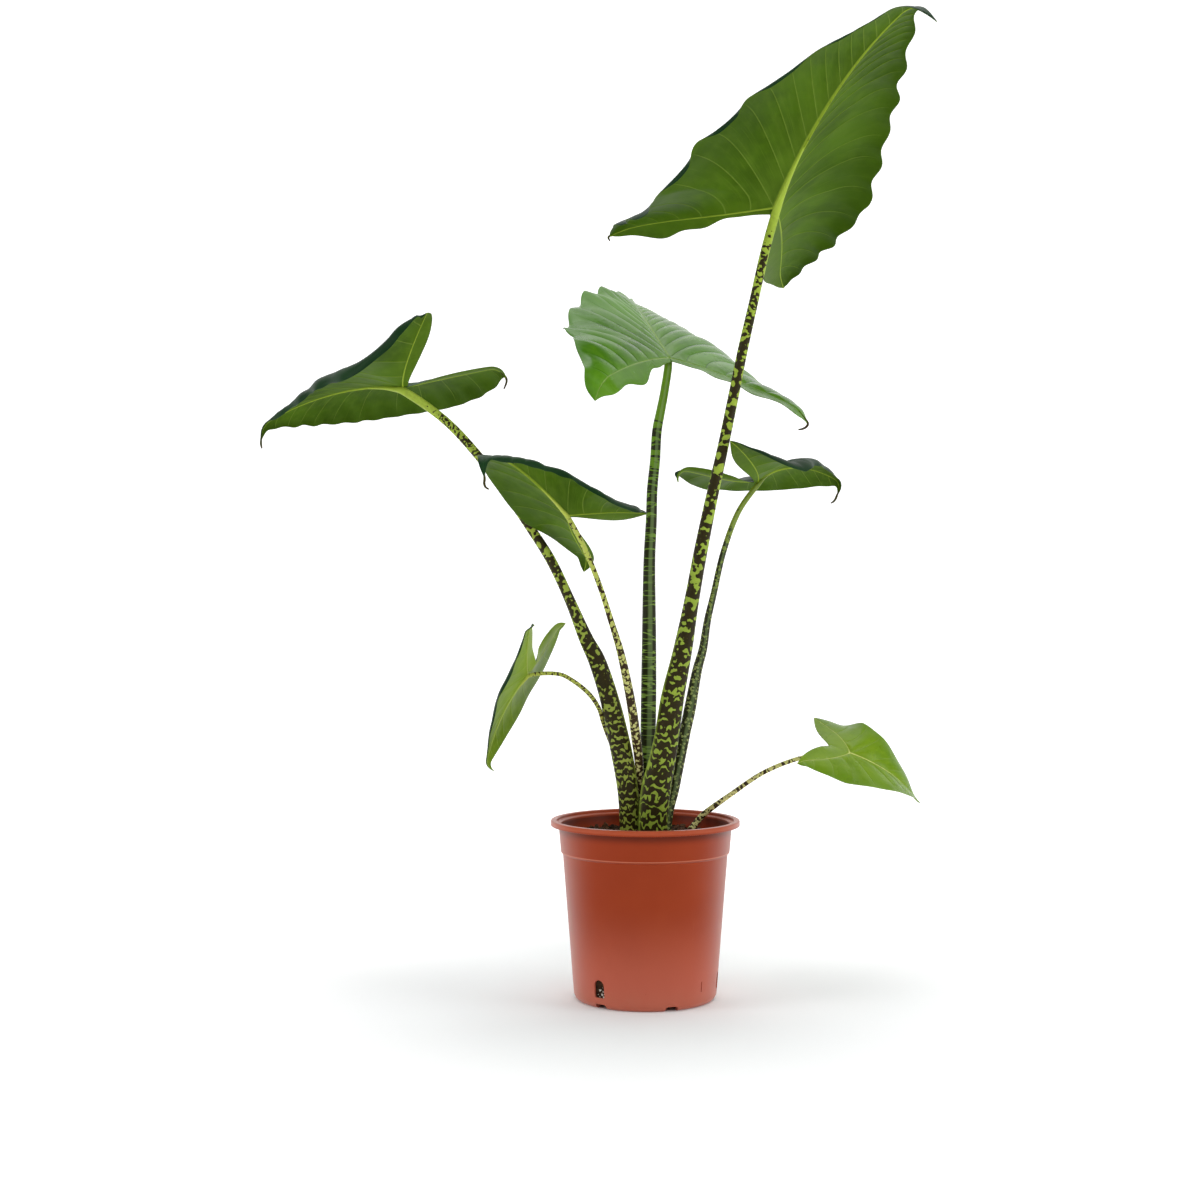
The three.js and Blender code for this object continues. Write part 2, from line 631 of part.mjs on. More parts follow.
// Leaf stalks: [x, y, z, half width] from the corm up to the blade's seat; flat is the foot's depth to width.
const STALKS = [
  {
    flat: 0.58,
    path: [
      [7, -7, 147, 11], [7.5, -8, 166, 14], [8.5, -9, 190, 14.6], [11, -10, 213, 14.8],
      [17, -11, 241, 13.2], [21.5, -12.5, 266, 12.2], [27, -14, 303, 11.6], [37, -16, 351, 9.5],
      [46, -17, 401, 7.4], [55, -19, 451, 6.8], [65, -20, 500, 6.1], [76, -22, 550, 5.5],
      [86, -24, 599, 5.3], [96, -25, 649, 5], [107, -27, 698, 4.6], [118, -29, 747, 4.5],
    ],
  },
  {
    flat: 0.6,
    path: [
      [-12, -1, 147, 8], [-15.5, -2, 166, 9.4], [-16.4, -3, 190, 10], [-18, -3.5, 212, 10.3],
      [-23, -4.5, 243, 10.6], [-28.5, -5, 269, 10.4], [-37, -6, 305, 9.4], [-49, -6, 341, 8.6],
      [-59, -5, 361, 7.2], [-76, -2, 401, 5.2], [-95, 1, 441, 5], [-114, 2, 471, 4.7],
      [-140, 1, 509, 4.5], [-163, -3, 540, 4.4], [-200, -12, 580, 4.1],
    ],
  },
  {
    flat: 0.85,
    path: [
      [3, 10, 147, 6.2], [3, 12, 166, 6.8], [3, 14.5, 190, 7.2], [3, 19, 238, 7.6],
      [4, 24, 299, 7.9], [4.5, 28, 355, 7.4], [5, 34, 441, 6.1], [7, 37, 482, 5.7],
      [8, 40, 513, 5.5], [11, 42, 544, 5.2], [13, 44, 574, 5], [17, 46, 595, 4.6],
      [21, 48, 616, 4.3],
    ],
  },
  {
    flat: 0.8,
    path: [
      [-5, 5, 147, 3.4], [-5, 5, 166, 3.6], [-5.3, 4.6, 190, 3.8], [-5.6, 2.6, 213, 4],
      [-6.4, -7, 238, 4.4], [-9.5, -19, 263, 4.7], [-13.3, -28, 291, 4.6], [-19, -35, 322, 4.2],
      [-25.8, -41, 352, 3.6], [-35, -47, 382, 2.9], [-46, -51, 416, 2.6], [-62, -56, 455, 2.5],
    ],
  },
  {
    flat: 0.8,
    path: [
      [19, 3, 147, 4.4], [21.3, 4, 168, 5.1], [23.8, 5, 188, 5.2], [28.8, 7, 208, 5.5],
      [33, 9, 229, 5.6], [41, 12, 269, 5.8], [45.4, 15, 289, 6], [53.3, 18, 330, 5],
      [59, 22, 350, 4.4], [64, 25, 380, 3.7], [70, 28, 405, 3.3], [81, 32, 451, 3],
      [97, 37, 492, 2.8],
    ],
  },
  {
    flat: 0.8,
    fine: true,
    path: [
      [-14, 8, 147, 2.4], [-17, 8.5, 162, 2.6], [-18, 8.5, 190, 2.6], [-21, 8, 215, 2.6],
      [-26, 8, 236, 2.5], [-32, 7, 251, 2.5], [-38, 4, 266, 2.4], [-42.5, 0, 279, 2.3],
      [-46.5, -8, 292, 2.2], [-55.5, -13, 306, 2.2], [-70.5, -16, 319, 2.1], [-86, -18, 327, 2],
    ],
  },
  {
    flat: 0.9,
    fine: true,
    path: [
      [27, 26, 140, 2.8], [36, 37, 150, 3.2], [50, 47, 166, 3.3], [60, 50, 177.5, 3.1],
      [72, 50, 187, 2.9], [88, 52, 198, 2.6], [123, 56, 221, 2.3], [158, 58, 235, 2.2],
      [185, 59, 240, 2.2],
    ],
  },
];

const COLOURS = {
  pot: 0x9a4426,
  soil: 0x35271c,
  corm: 0x5a4a30,
  petiole: 0x5b6a22,
  blade: 0x3f6a24,
};

const group = new THREE.Group();
group.name = "potted_alocasia_zebrina";
function add(name, solid, colour, roughness) {
  const material = new THREE.MeshStandardMaterial({ color: colour, roughness, metalness: 0 });
  const mesh = new THREE.Mesh(geometryOf(solid), material);
  mesh.name = name;
  group.add(mesh);
}

// Each stalk runs up to its blade's seat, and is cut off just under the blade.
const blades = LEAVES.map((leaf) => makeBlade(leaf));
STALKS.forEach((stalk, i) => {
  const [x, y, z, half] = stalk.path.at(-1);
  const reach = V(...LEAVES[i].seat).sub(V(x, y, z));
  const end = V(x, y, z).add(reach.setLength(reach.length() - TOP_SHORT));
  stalk.path.push([...end.toArray(), half * TOP_TAPER]);
});
const stalks = STALKS.map((stalk, i) => {
  const cutter = makeBlade(LEAVES[i], BLADE + 2 * TOP_GAP);
  return largest(makeStalk(stalk).subtract(cutter).subtract(makeCorm(SEAT_GAP)));
});
// Where two stalks' feet crowd, the smaller gives way.
const ORDER = [0, 1, 2, 4, 3, 5, 6];
for (let a = 0; a < ORDER.length; a++)
  for (let b = a + 1; b < ORDER.length; b++) {
    const [i, j] = [ORDER[a], ORDER[b]];
    const grown = makeStalk(STALKS[i], SEAT_GAP);
    if (grown.intersect(stalks[j]).volume() > 0) stalks[j] = largest(stalks[j].subtract(grown));
  }

add("pot", makePot(), COLOURS.pot, 0.5);
add("soil", makeSoil([makeCorm(SEAT_GAP), ...STALKS.map((s) => makeStalk(s, SEAT_GAP))]), COLOURS.soil, 1);
add("corm", makeCorm(), COLOURS.corm, 0.9);
stalks.forEach((solid, i) => add("petiole_" + (i + 1), solid, COLOURS.petiole, 0.5));
blades.forEach((solid, i) => add("blade_" + (i + 1), solid, COLOURS.blade, 0.45));

export default group;
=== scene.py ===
"""Potted alocasia zebrina: fine blades with raised veins, zebra-marked stalks, moulded pot and potting mix.

All shapes are worked out in millimetres in the part's own frame and put into meshes in metres.
"""

import bpy
import numpy as np
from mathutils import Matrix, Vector


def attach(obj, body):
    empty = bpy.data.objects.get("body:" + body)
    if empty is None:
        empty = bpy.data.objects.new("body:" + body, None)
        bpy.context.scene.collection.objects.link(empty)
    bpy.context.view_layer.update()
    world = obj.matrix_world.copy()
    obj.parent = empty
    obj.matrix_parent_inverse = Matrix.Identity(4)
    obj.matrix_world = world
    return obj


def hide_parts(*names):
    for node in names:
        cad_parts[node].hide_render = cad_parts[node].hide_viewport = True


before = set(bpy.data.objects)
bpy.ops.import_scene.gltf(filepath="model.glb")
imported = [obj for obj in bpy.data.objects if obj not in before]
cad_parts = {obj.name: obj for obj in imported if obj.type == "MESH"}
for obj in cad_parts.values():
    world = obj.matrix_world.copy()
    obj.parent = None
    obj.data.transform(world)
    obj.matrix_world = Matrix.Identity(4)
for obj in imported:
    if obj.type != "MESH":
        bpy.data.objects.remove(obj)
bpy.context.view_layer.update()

MM = 0.001
DEG = np.pi / 180

# Measures

POT_HEIGHT = 180
RIM_R = 95
RIM_INNER_R = 89
RIM_SKIN = 1.8
LEDGE_Z = 177
LEDGE_R = 87
LIP_DROP = 5.6
LIP_WALL = 1.7
WALL = 2
COLLAR_TOP_R = 87.2
COLLAR_FOOT_R = 84.8
STEP_Z = 147.7
BODY_TOP_R = 82.9
BODY_FOOT_R = 72
BODY_FOOT_Z = 8
FOOT_R = 66.5
FOOT_RING = 2.6
FLOOR_Z = 7
PAD_R = 20
SLOTS = 3
NOTCHES = 6
SLOT_TURN = -39.5
SLOT_WIDTH = 12
SLOT_BOTTOM = 11.3
SLOT_TOP = 29
NOTCH_WIDTH = 13
NOTCH_TOP = 5
DRAIN_R = 44
DRAIN_LENGTH = 26
DRAIN_WIDTH = 5
SOIL_Z = 164
SOIL_GAP = 0.35
SOIL_MOUND = 5
MOUND_R = 60

# A blade's thickness inside and at its edge, the length that the relief is given for, and the steps along a
# midrib. SEAT_SHARE of a half's rows and FRONT_SHARE of its margin lie between the apex and the seat.
# Across a half, the roll starts at ROLL_FROM and the lip at LIP_FROM of the way.
BLADE = 0.8
EDGE = 0.42
FULL_LENGTH = 290
RIB_STEPS = 160
SEAT_SHARE = 0.66
FRONT_SHARE = 0.68
ROLL_FROM = 0.72
LIP_FROM = 0.9
# The ridge under the midrib and the lobes' veins: its height at the seat and a lobe vein's share of it, its
# half width there and what a lobe's vein has less, a side vein's height, and how much a lobe's vein thins.
RIB_RISE = 2.3
RIB_LOBE = 0.62
KEEL = 2.1
KEEL_LESS = 0.9
VEIN_RISE = 0.42
LOBE_THIN = 0.55

# seat: where the stalk meets the blade. heading, climb, roll: the midrib's direction there.
# bend, hook, sway: how it goes on. front_veins, lobe_veins: primary side veins on each half.
# Each half: fold up from the midrib, curl (cup, roll), the lobe's pitch, twist and hook, the inner edge's
# curl and scoop, and the margin's ripple: wave lifts it, scallop pushes it out, lip rolls it under.
HALF = dict(scoop=0.12, quicken=0, lip=0, frill=0, frills=0)
LEAVES = [
    dict(
        seat=(126.3, -30.0, 788.6), length=322, width=0.95, lobe=1.13, sinus=0.03,
        heading=-64, climb=46, roll=21, bend=-35, hook=-66, sway=21, front_veins=12, lobe_veins=6,
        right=dict(
            HALF, fold=48, fold_tip=47, cup=-52, roll=9, pitch=31, twist=-19, hook=-21, inner=-5, scoop=0.2,
            wave=1.4, scallop=0.7, waves=4.5, quicken=2.8, phase=-0.3, lip=-130, frill=3, frills=3,
        ),
        left=dict(
            HALF, fold=21, fold_tip=1, cup=-49, roll=-28, pitch=-1, twist=-14, hook=-17, inner=-8,
            wave=2.4, scallop=2.8, waves=5.5, quicken=5.5, phase=0.9, frill=1.5, frills=3,
        ),
    ),
    dict(
        seat=(-241.2, -20.0, 612.6), length=198, width=1.12, lobe=0.83, sinus=0.03,
        heading=143, climb=7, roll=7, bend=-39, hook=-63, sway=-14, front_veins=7, lobe_veins=4,
        right=dict(
            HALF, fold=28, fold_tip=-24, cup=-55, roll=-20, pitch=2, twist=-8, hook=-69, inner=37,
            wave=1.5, scallop=1.0, waves=14, phase=0.5,
        ),
        left=dict(
            HALF, fold=20, fold_tip=-9, cup=-34, roll=-67, pitch=34, twist=-40, hook=-54, inner=-1,
            wave=1.5, scallop=1.0, waves=6, phase=1.2, lip=-60,
        ),
    ),
    dict(
        seat=(26.0, 50.0, 648.8), length=286, width=0.94, lobe=0.97, sinus=0.03,
        heading=106, climb=31, roll=10, bend=-20, hook=12, sway=20, front_veins=13, lobe_veins=6,
        right=dict(
            HALF, fold=18, fold_tip=4, cup=-39, roll=-5, pitch=-7, twist=-10, hook=-37, inner=16,
            wave=2.0, scallop=0.8, waves=6, phase=0.8, frill=3, frills=3.5,
        ),
        left=dict(
            HALF, fold=6, fold_tip=36, cup=-22, roll=4, pitch=-2, twist=18, hook=-94, inner=-3,
            wave=4.0, scallop=2.4, waves=7, phase=2.6, lip=-40, frill=4, frills=2.5,
        ),
    ),
    dict(
        seat=(-76.7, -60.0, 483.9), length=181, width=0.83, lobe=0.98, sinus=0.015,
        heading=-152, climb=44, roll=40, bend=-77, hook=-85, sway=-28, front_veins=6, lobe_veins=4,
        right=dict(
            HALF, fold=33, fold_tip=24, cup=-22, roll=-4, pitch=10, twist=7, hook=-76, inner=36,
            wave=1.0, scallop=1.0, waves=5, phase=0.8,
        ),
        left=dict(
            HALF, fold=26, fold_tip=10, cup=-84, roll=-22, pitch=32, twist=-23, hook=-8, inner=15,
            wave=1.6, scallop=1.0, waves=6, phase=1.5, lip=-60,
        ),
    ),
    dict(
        seat=(116.3, 40.0, 522.0), length=163, width=0.95, lobe=0.98, sinus=0.04,
        heading=57, climb=25, roll=-11, bend=-54, hook=-108, sway=12, front_veins=6, lobe_veins=4,
        right=dict(
            HALF, fold=35, fold_tip=16, cup=-65, roll=-31, pitch=23, twist=-22, hook=20, inner=1,
            wave=1.2, scallop=0.8, waves=5, phase=1.0, lip=-40,
        ),
        left=dict(
            HALF, fold=16, fold_tip=-58, cup=-31, roll=0, pitch=27, twist=-13, hook=-113, inner=56,
            wave=1.3, scallop=0.9, waves=8, phase=2.0,
        ),
    ),
    dict(
        seat=(-117.6, -20.0, 326.8), length=112, width=1.13, lobe=1.1, sinus=0.13,
        heading=167, climb=-50, roll=3, bend=-31, hook=-75, sway=6, front_veins=5, lobe_veins=3,
        right=dict(
            HALF, fold=13, fold_tip=-26, cup=-20, roll=7, pitch=6, twist=-14, hook=-30, inner=35,
            wave=0.8, scallop=0.6, waves=4, phase=1.0,
        ),
        left=dict(
            HALF, fold=14, fold_tip=-8, cup=-12, roll=-34, pitch=3, twist=-12, hook=-41, inner=30,
            wave=0.6, scallop=0.4, waves=4, phase=1.0, lip=-60,
        ),
    ),
    dict(
        seat=(213.6, 60.0, 241.2), length=107, width=1.14, lobe=1.08, sinus=0.2,
        heading=-4, climb=-20, roll=41, bend=-58, hook=24, sway=-18, front_veins=5, lobe_veins=3,
        right=dict(
            HALF, fold=13, fold_tip=27, cup=-10, roll=8, pitch=5, twist=-3, hook=-24, inner=12,
            wave=0.7, scallop=0.6, waves=5, phase=3.0,
        ),
        left=dict(
            HALF, fold=13, fold_tip=9, cup=-19, roll=4, pitch=-35, twist=-1, hook=5, inner=-1,
            wave=0.5, scallop=0.4, waves=4, phase=3.0,
        ),
    ),
]

# Stalks: x, y, z, half width from the corm up to the blade's seat; flat is the foot's depth to width; lip is
# where round the foot a sheath's edge runs up, in degrees.
STALKS = [
    dict(flat=0.58, lip=[340], path=[
        (7, -7, 147, 11), (7.5, -8, 166, 14), (8.5, -9, 190, 14.6), (11, -10, 213, 14.8),
        (17, -11, 241, 13.2), (21.5, -12.5, 266, 12.2), (27, -14, 303, 11.6), (37, -16, 351, 9.5),
        (46, -17, 401, 7.4), (55, -19, 451, 6.8), (65, -20, 500, 6.1), (76, -22, 550, 5.5),
        (86, -24, 599, 5.3), (96, -25, 649, 5), (107, -27, 698, 4.6), (118, -29, 747, 4.5),
    ]),
    dict(flat=0.6, lip=[200], path=[
        (-12, -1, 147, 8), (-15.5, -2, 166, 9.4), (-16.4, -3, 190, 10), (-18, -3.5, 212, 10.3),
        (-23, -4.5, 243, 10.6), (-28.5, -5, 269, 10.4), (-37, -6, 305, 9.4), (-49, -6, 341, 8.6),
        (-59, -5, 361, 7.2), (-76, -2, 401, 5.2), (-95, 1, 441, 5), (-114, 2, 471, 4.7),
        (-140, 1, 509, 4.5), (-163, -3, 540, 4.4), (-200, -12, 580, 4.1),
    ]),
    dict(flat=0.85, path=[
        (3, 10, 147, 6.2), (3, 12, 166, 6.8), (3, 14.5, 190, 7.2), (3, 19, 238, 7.6), (4, 24, 299, 7.9),
        (4.5, 28, 355, 7.4), (5, 34, 441, 6.1), (7, 37, 482, 5.7), (8, 40, 513, 5.5), (11, 42, 544, 5.2),
        (13, 44, 574, 5), (17, 46, 595, 4.6), (21, 48, 616, 4.3),
    ]),
    dict(flat=0.8, path=[
        (-5, 5, 147, 3.4), (-5, 5, 166, 3.6), (-5.3, 4.6, 190, 3.8), (-5.6, 2.6, 213, 4),
        (-6.4, -7, 238, 4.4), (-9.5, -19, 263, 4.7), (-13.3, -28, 291, 4.6), (-19, -35, 322, 4.2),
        (-25.8, -41, 352, 3.6), (-35, -47, 382, 2.9), (-46, -51, 416, 2.6), (-62, -56, 455, 2.5),
    ]),
    dict(flat=0.8, path=[
        (19, 3, 147, 4.4), (21.3, 4, 168, 5.1), (23.8, 5, 188, 5.2), (28.8, 7, 208, 5.5),
        (33, 9, 229, 5.6), (41, 12, 269, 5.8), (45.4, 15, 289, 6), (53.3, 18, 330, 5),
        (59, 22, 350, 4.4), (64, 25, 380, 3.7), (70, 28, 405, 3.3), (81, 32, 451, 3), (97, 37, 492, 2.8),
    ]),
    dict(flat=0.8, path=[
        (-14, 8, 147, 2.4), (-17, 8.5, 162, 2.6), (-18, 8.5, 190, 2.6), (-21, 8, 215, 2.6),
        (-26, 8, 236, 2.5), (-32, 7, 251, 2.5), (-38, 4, 266, 2.4), (-42.5, 0, 279, 2.3),
        (-46.5, -8, 292, 2.2), (-55.5, -13, 306, 2.2), (-70.5, -16, 319, 2.1), (-86, -18, 327, 2),
    ]),
    dict(flat=0.9, path=[
        (27, 26, 140, 2.8), (36, 37, 150, 3.2), (50, 47, 166, 3.3), (60, 50, 177.5, 3.1),
        (72, 50, 187, 2.9), (88, 52, 198, 2.6), (123, 56, 221, 2.3), (158, 58, 235, 2.2),
        (185, 59, 240, 2.2),
    ]),
]
# A sheath edge's half width in degrees, the height below which feet crowd, the room left between them, and
# the order in which the stalks nest: a later one gives way to an earlier one.
SHEATH_EDGE = 7.5
CROWD_Z = 420
FOOT_GAP = 0.3
NESTING = (0, 1, 2, 4, 3, 5, 6)

# Dry drip tips: the blade, whether at its apex or at a lobe, and the way on in x and z from there.
TAILS = [
    (1, "right", [(-1.4, -1.6), (0.2, -5.5)]),
    (2, "apex", [(0.2, -3), (1.0, -6.5)]),
    (2, "right", [(0.4, -4), (-2.2, -11)]),
    (3, "right", [(-1.5, -3.2), (-5, -5.2), (-9.5, -6.2)]),
    (4, "apex", [(-0.3, -4), (0.8, -7.5), (4, -9.6)]),
    (5, "apex", [(-1.2, -3), (-3.4, -5.8), (-6.4, -7.6)]),
]

# Arithmetic


def smooth(x):
    """Three x squared less two x cubed, with x held between 0 and 1."""
    x = np.clip(x, 0.0, 1.0)
    return x * x * (3 - 2 * x)


def turned(a, b, degrees):
    """a and b turned in their own plane: a cos + b sin, and b cos - a sin."""
    c, s = np.cos(np.asarray(degrees) * DEG), np.sin(np.asarray(degrees) * DEG)
    if np.ndim(c):
        c, s = c[:, None], s[:, None]
    return a * c + b * s, b * c - a * s


def bezier(points, n=80):
    """A Bezier curve by repeated straight steps between its control points."""
    t = np.linspace(0, 1, n)[None, :, None]
    p = np.asarray(points, float)[:, None, :]
    while len(p) > 1:
        p = (1 - t) * p[:-1] + t * p[1:]
    return p[0]


def along_line(line, share):
    """The points at these shares of a line's whole length."""
    d = np.r_[0, np.cumsum(np.linalg.norm(np.diff(line, axis=0), axis=1))]
    return np.stack([np.interp(share, d / d[-1], line[:, k]) for k in range(line.shape[1])], -1)


def spline(points, u):
    """A centripetal Catmull-Rom curve: each span is a cubic whose end slopes come from its neighbours, with
    spans timed by the square root of their chords. The fourth number of a point, its width, is carried
    too."""
    p = np.asarray(points, float)
    p = np.vstack([2 * p[0] - p[1], p, 2 * p[-1] - p[-2]])
    last = len(p) - 3
    k = np.minimum((u * last).astype(int), last - 1)
    w = (u * last - k)[:, None]
    a, b, c, d = p[k], p[k + 1], p[k + 2], p[k + 3]
    chords = [np.linalg.norm((y - x)[:, :3], axis=1) for x, y in ((a, b), (b, c), (c, d))]
    gap = [np.maximum(chord, 1e-6)[:, None] ** 0.5 for chord in chords]
    m1 = ((b - a) / gap[0] - (c - a) / (gap[0] + gap[1]) + (c - b) / gap[1]) * gap[1]
    m2 = ((c - b) / gap[1] - (d - b) / (gap[1] + gap[2]) + (d - c) / gap[2]) * gap[1]
    return b + m1 * w + (3 * (c - b) - 2 * m1 - m2) * w**2 + (2 * (b - c) + m1 + m2) * w**3


def grain(points, size, seed, waves=14):
    """A smooth random field from -1 to 1: the mean of plane waves of about this size in random directions."""
    rng = np.random.default_rng(seed)
    heading = rng.normal(size=(waves, points.shape[-1]))
    heading /= np.linalg.norm(heading, axis=1)[:, None]
    turns = 2 * np.pi / size * rng.uniform(0.6, 1.6, waves)[:, None]
    return np.sin(points @ (heading * turns).T + rng.uniform(0, 6.28, waves)).sum(-1) / waves**0.5 / 1.4


# Meshes


def grid_faces(rows, columns, wrap=False):
    """The four corner numbers of each cell of a grid, counted row by row; wrap closes the columns to a
    ring."""
    i = np.arange(rows - 1)[:, None] * columns
    j = np.arange(columns if wrap else columns - 1)[None, :]
    n = (j + 1) % columns
    return np.stack([i + j, i + columns + j, i + columns + n, i + n], -1).reshape(-1, 4)


def weld(points, faces, step=0.002):
    """Merges corners that lie within a step of each other. Returns the kept corners' numbers, the faces that
    remain and, for each face corner, the number it had before."""
    cell = np.round(points / step).astype(np.int64)
    _, first, ids = np.unique(cell, axis=0, return_index=True, return_inverse=True)
    quads = ids.reshape(-1)[faces]
    same = [quads[:, k] == quads[:, (k + 1) % 4] for k in range(4)]
    whole = ~(same[0] | same[1] | same[2] | same[3])
    kept, was = quads[whole].tolist(), faces[whole].tolist()
    for k in range(4):
        only = same[k] & ~same[(k + 1) % 4] & ~same[(k + 2) % 4] & ~same[(k + 3) % 4]
        pick = [i for i in range(4) if i != k]
        kept += quads[only][:, pick].tolist()
        was += faces[only][:, pick].tolist()
    return first, kept, was


def closed_rings(rings, foot, top, turned_in=False):
    """Rings of corners, one row each, closed by a fan to a point at either end: the corners and the faces,
    which point out where the rings run up anticlockwise, or the other way round."""
    count, around = rings.shape[:2]
    a = np.arange(around)
    b = (a + 1) % around
    first = count * around
    last = first - around
    faces = grid_faces(count, around, True).tolist()
    faces += np.stack([np.full(around, first), a, b], -1).tolist()
    faces += np.stack([np.full(around, first + 1), last + b, last + a], -1).tolist()
    if turned_in:
        faces = [face[::-1] for face in faces]
    return np.vstack([rings.reshape(-1, 3), foot, top]), faces


def corner_normals(points, faces):
    """Each corner's normal: the sum of its faces' area normals, made one long."""
    tri = np.array([f[:3] for f in faces] + [[f[0], f[2], f[3]] for f in faces if len(f) == 4])
    n = np.cross(points[tri[:, 1]] - points[tri[:, 0]], points[tri[:, 2]] - points[tri[:, 0]])
    out = np.zeros_like(points)
    for k in range(3):
        np.add.at(out, tri[:, k], n)
    return out / np.maximum(np.linalg.norm(out, axis=1), 1e-12)[:, None]


def open_edges(faces):
    """The directed edges that only one face uses."""
    pairs = np.array([e for f in faces for e in zip(f, f[1:] + f[:1])])
    key = pairs.min(1).astype(np.int64) * 10_000_000 + pairs.max(1)
    _, first, count = np.unique(key, return_index=True, return_counts=True)
    return pairs[first[count == 1]]


def make_piece(name, points, faces, finishes, of_face=None, fields=None, uv=None, sharp=None):
    """A mesh object in metres with smooth faces, its materials, named corner fields and a corner map."""
    mesh = bpy.data.meshes.new(name)
    mesh.from_pydata((np.asarray(points) * MM).tolist(), [], [list(f) for f in faces])
    for finish in finishes:
        mesh.materials.append(finish)
    mesh.polygons.foreach_set("use_smooth", np.ones(len(mesh.polygons), bool))
    if of_face is not None:
        mesh.polygons.foreach_set("material_index", np.asarray(of_face, np.int32))
    for key, values in (fields or {}).items():
        values = np.asarray(values, np.float32)
        kind = "FLOAT" if values.ndim == 1 else "FLOAT_VECTOR"
        held = mesh.attributes.new(key, kind, "POINT")
        held.data.foreach_set("value" if values.ndim == 1 else "vector", values.ravel())
    if uv is not None:
        mesh.uv_layers.new(name="map").data.foreach_set("uv", np.asarray(uv, np.float32).ravel())
    if sharp is not None:
        mesh.set_sharp_from_angle(angle=sharp * DEG)
    mesh.update()
    mesh.validate()
    piece = bpy.data.objects.new(name, mesh)
    bpy.context.scene.collection.objects.link(piece)
    return piece


# Finishes


def linear(r, g, b):
    """An sRGB colour from 0 to 255 as scene-linear red, green, blue and 1."""
    c = np.array([r, g, b]) / 255
    return (*np.where(c <= 0.04045, c / 12.92, ((c + 0.055) / 1.055) ** 2.4).tolist(), 1.0)


def times(colour, factor):
    """A colour made lighter or darker by a factor, still opaque."""
    return [c * factor for c in colour[:3]] + [1]


class Finish:
    """One material being wired: each call adds a node and gives back its output."""

    def __init__(self, name, **surface):
        self.material = bpy.data.materials.new(name)
        self.material.use_nodes = True
        self.tree = self.material.node_tree
        self.surface = self.tree.nodes["Principled BSDF"]
        self.set(self.surface, surface)

    def set(self, node, sockets):
        for key, value in sockets.items():
            socket = node.inputs[key] if isinstance(key, int) else node.inputs[key.replace("_", " ")]
            if isinstance(value, bpy.types.NodeSocket):
                self.tree.links.new(value, socket)
            else:
                socket.default_value = value

    def node(self, kind, out=0, sockets=None, **settings):
        made = self.tree.nodes.new("ShaderNode" + kind)
        for key, value in settings.items():
            setattr(made, key, value)
        self.set(made, sockets or {})
        return made.outputs[out]

    def where(self):
        return self.node("TexCoord", "Object")

    def field(self, name, out="Fac"):
        return self.node("Attribute", out, attribute_name=name)

    def stretch(self, vector, x, y, z):
        return self.node("Mapping", 0, {"Vector": vector, "Scale": (x, y, z)}, vector_type="POINT")

    def noise(self, vector, scale, detail=3.0, rough=0.5, out="Fac"):
        sockets = {"Vector": vector, "Scale": scale, "Detail": detail, "Roughness": rough}
        return self.node("TexNoise", out, sockets)

    def span(self, value, low, high, to_low=0.0, to_high=1.0, soft=True):
        return self.node(
            "MapRange", 0, {0: value, 1: low, 2: high, 3: to_low, 4: to_high},
            interpolation_type="SMOOTHSTEP" if soft else "LINEAR",
        )

    def sum(self, a, b, how="ADD"):
        return self.node("Math", 0, {0: a, 1: b}, operation=how)

    def blend(self, share, a, b):
        return self.node("Mix", 2, {0: share, 6: a, 7: b}, data_type="RGBA", clamp_factor=True)

    def bump(self, height, strength, distance, under=None):
        sockets = {"Height": height, "Strength": strength, "Distance": distance}
        if under is not None:
            sockets["Normal"] = under
        return self.node("Bump", 0, sockets)

    def done(self, **sockets):
        self.set(self.surface, sockets)
        return self.material


def leaf_finish(name, deep, mid, pale, vein, rib, rough, gloss, vein_strength, bump):
    """Leaf skin: deep to mid green in soft clouds, paler near the midrib, with fine side veins drawn along
    the map between the primary ones, and the veins and the midrib by their own fields."""
    f = Finish(name, IOR=1.45, Specular_IOR_Level=gloss)
    where = f.where()
    flat = f.node("UVMap", 0, uv_map="map")
    cloud = f.noise(where, 16, 4, 0.55)
    green = f.blend(f.span(cloud, 0.35, 0.68), deep, mid)
    bays = f.noise(f.stretch(flat, 1.3, 2.2, 1), 2.2, 2)
    green = f.blend(f.span(bays, 0.4, 0.75, 0, 0.25), green, pale)
    thread = f.noise(f.stretch(flat, 22, 1.6, 1), 1.0, 3, 0.6)
    green = f.blend(f.span(thread, 0.56, 0.72, 0, 0.35), green, pale)
    way = f.node("SeparateXYZ", "Y", {"Vector": flat})
    green = f.blend(f.span(way, 0.35, 1.0, 0, 0.55), green, deep)
    green = f.blend(f.span(way, 0.0, 0.3, 0.3, 0), green, pale)
    green = f.blend(f.sum(f.field("vein"), vein_strength, "MULTIPLY"), green, vein)
    green = f.blend(f.field("rib"), green, rib)
    cells = f.noise(where, 900, 2, 0.6)
    lift = f.bump(thread, bump, 0.0004)
    lift = f.bump(cells, bump * 0.6, 0.00012, lift)
    shine = f.span(cloud, 0.3, 0.75, rough - 0.04, rough + 0.06)
    return f.done(Base_Color=green, Roughness=shine, Normal=lift)


